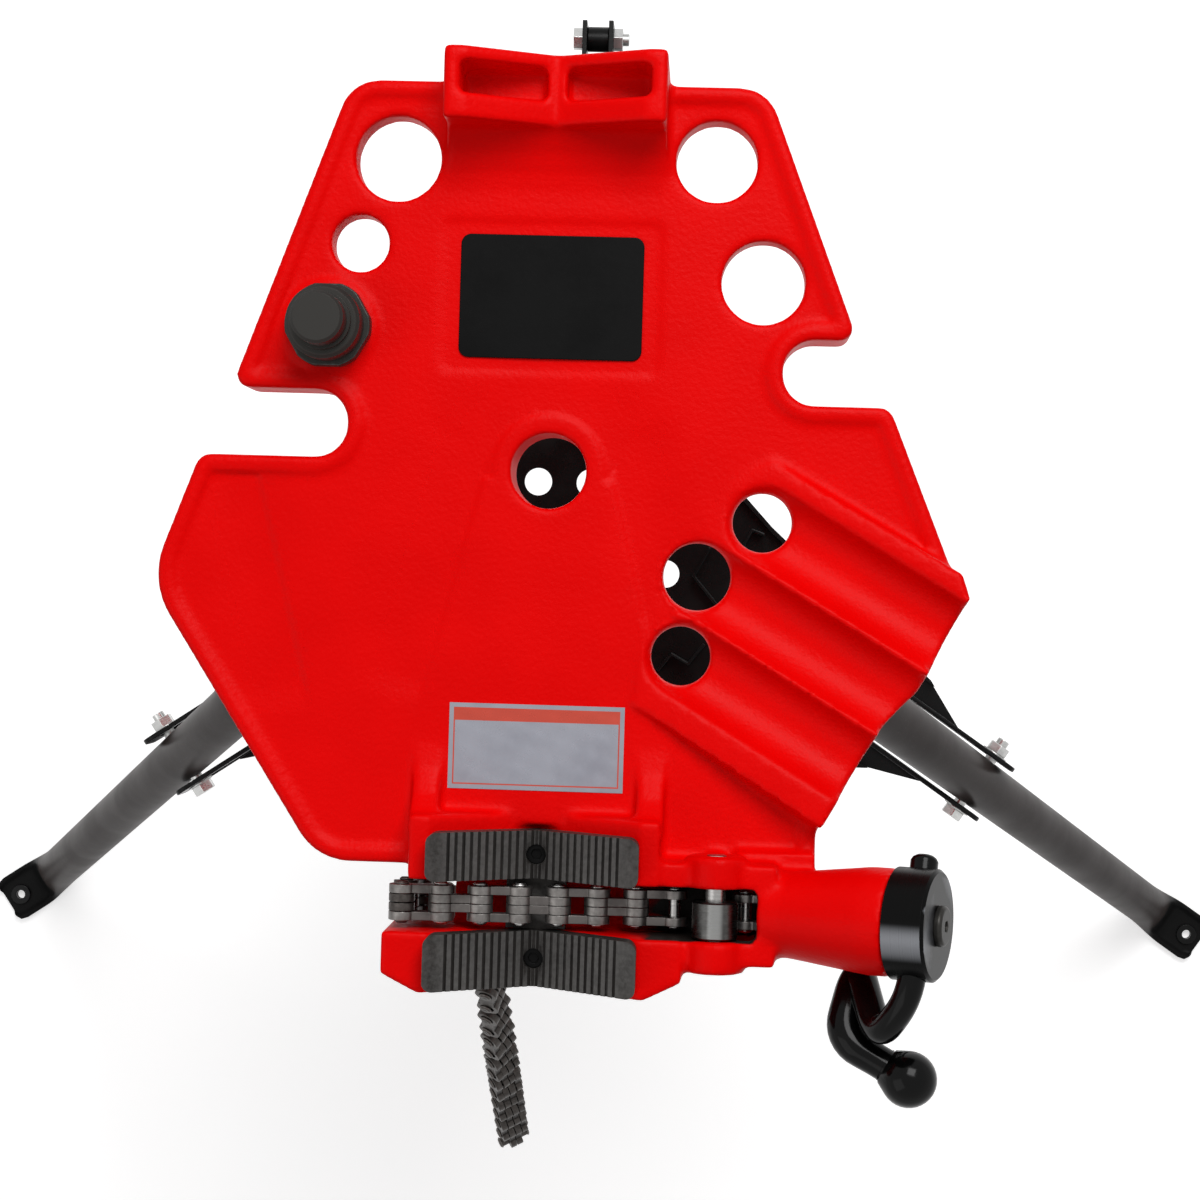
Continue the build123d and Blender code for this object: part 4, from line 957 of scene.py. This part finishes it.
# Ceiling screw
def ceiling_screw():
    """The stepped head on a threaded stem."""
    bm = merged_bmesh("ceiling_screw")
    everything = bm.verts[:] + bm.edges[:] + bm.faces[:]
    bmesh.ops.bisect_plane(bm, geom=everything, plane_co=(0, 0, (STEM_TOP - HEAD_SINK) * MM),
                           plane_no=(0, 0, -1), clear_outer=True)
    bmesh.ops.holes_fill(bm, edges=[edge for edge in bm.edges if edge.is_boundary], sides=MOST_SIDES)
    bmesh.ops.dissolve_limit(bm, angle_limit=FLAT_ANGLE, verts=bm.verts, edges=bm.edges)
    head = rounded(link("ceiling_head", mesh_of(bm, "ceiling_head")), HEAD_EDGE)
    head.data.materials.clear()
    stand_for(head, "ceiling_screw")
    core = STEM_R - THREAD_DEPTH
    stem = grown("ceiling_thread", bpy.data.meshes.new("ceiling_thread"), THREAD, {
        "Place": hub(*CEILING_AT, STEM_BOTTOM), "Core": core * MM, "Depth": THREAD_DEPTH * MM,
        "Lead": STEM_LEAD * MM, "Length": (STEM_TOP - STEM_BOTTOM) * MM,
        "Material": MATERIALS["bright_steel"]})
    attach(stem, "ceiling_screw")


ceiling_screw()


# Chain
def islands(node):
    """The points of each separate solid in a node."""
    bm = merged_bmesh(node)
    left = set(bm.verts)
    groups = []
    while left:
        stack = [left.pop()]
        group = []
        while stack:
            vertex = stack.pop()
            group.append(tuple(vertex.co))
            for edge in vertex.link_edges:
                other = edge.other_vert(vertex)
                if other in left:
                    left.remove(other)
                    stack.append(other)
        groups.append(np.array(group))
    bm.free()
    return groups


RIVET_R = 3.7
RIVET_H = 1.2
RIVET_SINK = 1.1
PLATE_EDGE = 0.6
PIN_EDGE = 0.5


def rivet_heads(node, material):
    """Domed heads on both ends of every pin of a chain."""
    places, axes = [], []
    for points in islands(node):
        middle = points.mean(axis=0)
        axis = np.linalg.svd(points - middle)[2][0]
        reach = np.abs((points - middle) @ axis).max()
        for way in (-1, 1):
            places.append(middle + axis * way * (reach - RIVET_SINK * MM))
            axes.append(axis * way)
    start = bpy.data.meshes.new(f"{node}_heads")
    start.from_pydata([tuple(place) for place in places], [], [])
    lines = start.attributes.new("Axis", "FLOAT_VECTOR", "POINT")
    lines.data.foreach_set("vector", np.array(axes, dtype=np.float32).ravel())
    piece = grown(f"{node}_heads", start, RIVETS, {
        "Width": RIVET_R * MM, "Height": RIVET_H * MM, "Material": material})
    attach(piece, BODY_OF[node])


for run, plates, pins in (("span", MATERIALS["chain_steel"], MATERIALS["bright_steel"]),
                          ("draw", MATERIALS["chain_steel"], MATERIALS["bright_steel"]),
                          ("tail", TAIL_STEEL, TAIL_STEEL)):
    softened(f"chain_{run}_plates", PLATE_EDGE, plates)
    softened(f"chain_{run}_pins", PIN_EDGE, pins)
    rivet_heads(f"chain_{run}_pins", pins)


# Roller, shorter than its slot
ROLLER_SIDES = 56
ROLLER_MERGE = 1e-6
ROLLER_PROFILE = [(-12.3, 5.1), (-12.3, 10.6), (-11.5, 11.4), (5.4, 11.4), (6.2, 10.6), (6.2, 5.1)]


def roller():
    """The chain roller, a turned ring on its pin."""
    x, z = ROLLER_AT
    bm = bmesh.new()
    ring = [bm.verts.new(hub(x, CHAIN_Y + along, z + radius)) for along, radius in ROLLER_PROFILE]
    edges = [bm.edges.new((ring[index - 1], ring[index])) for index in range(len(ring))]
    bmesh.ops.spin(bm, geom=ring + edges, cent=hub(x, CHAIN_Y, z), axis=(0, 1, 0), angle=tau,
                   steps=ROLLER_SIDES)
    bmesh.ops.remove_doubles(bm, verts=bm.verts, dist=ROLLER_MERGE)
    bmesh.ops.recalc_face_normals(bm, faces=bm.faces)
    piece = shade(link("roller_ring", mesh_of(bm, "roller_ring")))
    dress(piece, ROLLER_STEEL)
    stand_for(piece, "chain_roller")


roller()

# Label and tray
LABEL_GRID = (66, 33)
LABEL_CRINKLE = 0.16
LABEL_RIM = 4.0
LABEL_SINK = 0.25
LABEL_FILM = 0.3


def crinkle(x, y):
    """The unevenness of the film at a place: long and short waves that cross, in radians per millimetre."""
    long_waves = sin(x * 0.31 + y * 0.17) * sin(y * 0.42 - x * 0.09)
    short_waves = sin(x * 0.8 + 1.3) * sin(y * 0.23)
    return long_waves + 0.5 * short_waves


def label():
    """The label's film, slightly crinkled where it was pressed on."""
    size_x, size_y, thick = LABEL_SIZE
    bm = bmesh.new()
    bmesh.ops.create_grid(bm, x_segments=LABEL_GRID[0], y_segments=LABEL_GRID[1], size=0.5)
    for vertex in bm.verts:
        x, y = vertex.co.x * size_x, vertex.co.y * size_y
        edge = smoothstep(min(size_x / 2 - abs(x), size_y / 2 - abs(y)), 0.0, LABEL_RIM)
        height = DECK_Z + thick - LABEL_SINK + LABEL_CRINKLE * crinkle(x, y) * edge
        vertex.co = hub(LABEL_AT[0] + x, LABEL_AT[1] + y, height)
    piece = link("label", mesh_of(bm, "label"))
    body = piece.modifiers.new("film", "SOLIDIFY")
    body.thickness = LABEL_FILM * MM
    plain_mesh(piece)
    shade(piece)
    piece.data.materials.clear()
    stand_for(piece, "label_plate")


label()

FLANGE_H = 13.0
FLANGE_T = 2.2
FLANGE_EDGE = 0.6
FLANGES = [
    [(50.0, -109.0), (59.0, -98.0), (70.0, -104.0), (80.0, -91.0)],
    [(82.0, -28.0), (72.0, -47.0), (88.0, -66.0)],
    [(102.0, -29.0), (109.0, -16.0), (117.0, -19.0)],
]


def tray_flanges():
    """Upturned edges in the floor of the tray, on both sides."""
    bm = bmesh.new()
    for line in FLANGES + [[(-x, y) for x, y in line] for line in FLANGES]:
        low = [bm.verts.new(hub(x, y, TRAY_FLOOR)) for x, y in line]
        high = [bm.verts.new(hub(x, y, TRAY_FLOOR + FLANGE_H)) for x, y in line]
        for index in range(len(line) - 1):
            bm.faces.new((low[index], low[index + 1], high[index + 1], high[index]))
    piece = link("tray_flanges", mesh_of(bm, "tray_flanges"))
    wall = piece.modifiers.new("wall", "SOLIDIFY")
    wall.thickness = FLANGE_T * MM
    wall.offset = 0.0
    plain_mesh(piece)
    rounded(piece, FLANGE_EDGE)
    add_to(piece, "tray", "tray_black")


tray_flanges()


def washers(side):
    """Washers between a leg bolt and the outsides of its rails."""
    azimuth, radius, splay = LEGS[side]
    angle = radians(azimuth)
    reach = radius + BOLT_DROP * tan(radians(splay))
    bm = bmesh.new()
    for way in (-1, 1):
        across = way * (RAIL_OUT + WASHER_T / 2)
        at = hub(cos(angle) * reach - sin(angle) * across, sin(angle) * reach + cos(angle) * across,
                 HINGE_Z - BOLT_DROP)
        turn = Matrix.Rotation(angle, 4, "Z") @ Matrix.Rotation(radians(90.0), 4, "X")
        width = WASHER_R * MM
        bmesh.ops.create_cone(bm, cap_ends=True, segments=WASHER_SIDES, radius1=width, radius2=width,
                              depth=WASHER_T * MM, matrix=Matrix.Translation(at) @ turn)
    piece = rounded(link(f"{side}_washers", mesh_of(bm, f"{side}_washers")), WASHER_EDGE)
    add_to(piece, f"{side}_leg", "zinc")


washers("left")
washers("right")

# Pieces whose CAD shape only needs softer edges
EDGE_WIDTHS = {
    "rear_jaw": 0.45, "front_jaw": 0.45, "name_plate": 0.5, "roller_pin": 0.8, "crank_screw": 0.6,
    "ceiling_jam_nut": 0.8, "leg_pivot_bolts": 0.7, "leg_pivot_nuts": 0.7, "left_leg_bolt": 0.7,
    "right_leg_bolt": 0.7, "left_leg_nut": 0.7, "right_leg_nut": 0.7, "rear_tie_bolt": 0.7,
    "rear_tie_nut": 0.7, "rear_tie_spacer": 0.8, "tray_pan": 0.8, "left_tray_rails": 0.8,
    "right_tray_rails": 0.8, "rear_tray_straps": 0.8, "left_leg_knuckle": 1.8, "right_leg_knuckle": 1.8,
    "rear_leg_knuckle": 1.8, "left_foot_ring": 0.6, "right_foot_ring": 0.6, "rear_foot_ring": 0.6,
}
CAP_EDGE = 1.2
JAW_SCREW_EDGE = 0.3
for node, width in EDGE_WIDTHS.items():
    softened(node, width)
softened("crank_cap", CAP_EDGE, CAP_BLACK)
softened("jaw_screws", JAW_SCREW_EDGE, MATERIALS["plate_black"])

# Light, floor and camera
CAMERA_AT = hub(83.0, -63.0, 2226.0)
CAMERA_AIM = hub(28.0, -64.0, 860.0)
CAMERA_LENS = 82.0
CAMERA_ROLL = 1.7
CAMERA_SENSOR = 36.0

# Lamps: place in metres, width in metres and power in watts
LIGHT_AIM = (0.0, 0.0, 0.8)
LIGHTS = {"key": ((0.5, 1.5, 2.9), 1.4, 56.0), "fill": ((-1.6, -0.9, 2.6), 1.8, 10.0)}


def camera():
    """The photograph's view from above, a little to the right of the hub."""
    data = bpy.data.cameras.new("photo_view")
    data.lens = CAMERA_LENS
    data.sensor_width = CAMERA_SENSOR
    eye = bpy.data.objects.new("photo_view", data)
    bpy.context.scene.collection.objects.link(eye)
    back = (CAMERA_AT - CAMERA_AIM).normalized()
    roll = radians(CAMERA_ROLL)
    up = Vector((-sin(roll), cos(roll), 0.0))
    right = up.cross(back).normalized()
    up = back.cross(right)
    turn = Matrix((right, up, back)).transposed().to_4x4()
    eye.matrix_world = Matrix.Translation(CAMERA_AT) @ turn
    bpy.context.scene.camera = eye


def area_light(name, place, aim, size, power):
    """A soft square lamp that faces a point."""
    data = bpy.data.lights.new(name, "AREA")
    data.size = size
    data.energy = power
    lamp = bpy.data.objects.new(name, data)
    bpy.context.scene.collection.objects.link(lamp)
    lamp.location = place
    lamp.rotation_euler = (Vector(place) - Vector(aim)).to_track_quat("Z", "Y").to_euler()


def seen_rays(tree):
    """1 for a ray from the camera, or one that a mirror or glass sends on."""
    path = tree.nodes.new("ShaderNodeLightPath")
    mirror = math(tree, "MAXIMUM", path.outputs["Is Glossy Ray"], path.outputs["Is Transmission Ray"])
    return math(tree, "MAXIMUM", path.outputs["Is Camera Ray"], mirror)


FLOOR_SIZE = 12.0
FLOOR_DROP = 0.0005
FLOOR_GLOW = 0.55
WORLD_LIGHT = 0.3


def floor():
    """A pale floor that looks white to the camera and keeps the shadow."""
    bm = bmesh.new()
    bmesh.ops.create_grid(bm, x_segments=1, y_segments=1, size=FLOOR_SIZE)
    plane = link("floor", mesh_of(bm, "floor"))
    plane.location.z = -FLOOR_DROP
    material, shader = finish("floor_white", roughness=0.9, specular=0.1)
    shader.inputs["Base Color"].default_value = (0.86, 0.86, 0.86, 1.0)
    shader.inputs["Emission Color"].default_value = (1.0, 1.0, 1.0, 1.0)
    tree = material.node_tree
    glow = math(tree, "MULTIPLY", seen_rays(tree), FLOOR_GLOW)
    tree.links.new(glow, shader.inputs["Emission Strength"])
    dress(plane, material)


def world():
    """Even pale surroundings that look white to the camera and in reflections."""
    sky = bpy.data.worlds.new("studio")
    bpy.context.scene.world = sky
    sky.use_nodes = True
    tree = sky.node_tree
    shader = tree.nodes["Background"]
    shader.inputs["Color"].default_value = (1.0, 1.0, 1.0, 1.0)
    seen = seen_rays(tree)
    level = math(tree, "ADD", math(tree, "MULTIPLY", seen, 1.0 - WORLD_LIGHT), WORLD_LIGHT)
    tree.links.new(level, shader.inputs["Strength"])


camera()
for name, (place, size, power) in LIGHTS.items():
    area_light(name, place, LIGHT_AIM, size, power)
floor()
world()
bpy.context.scene.view_settings.view_transform = "Standard"
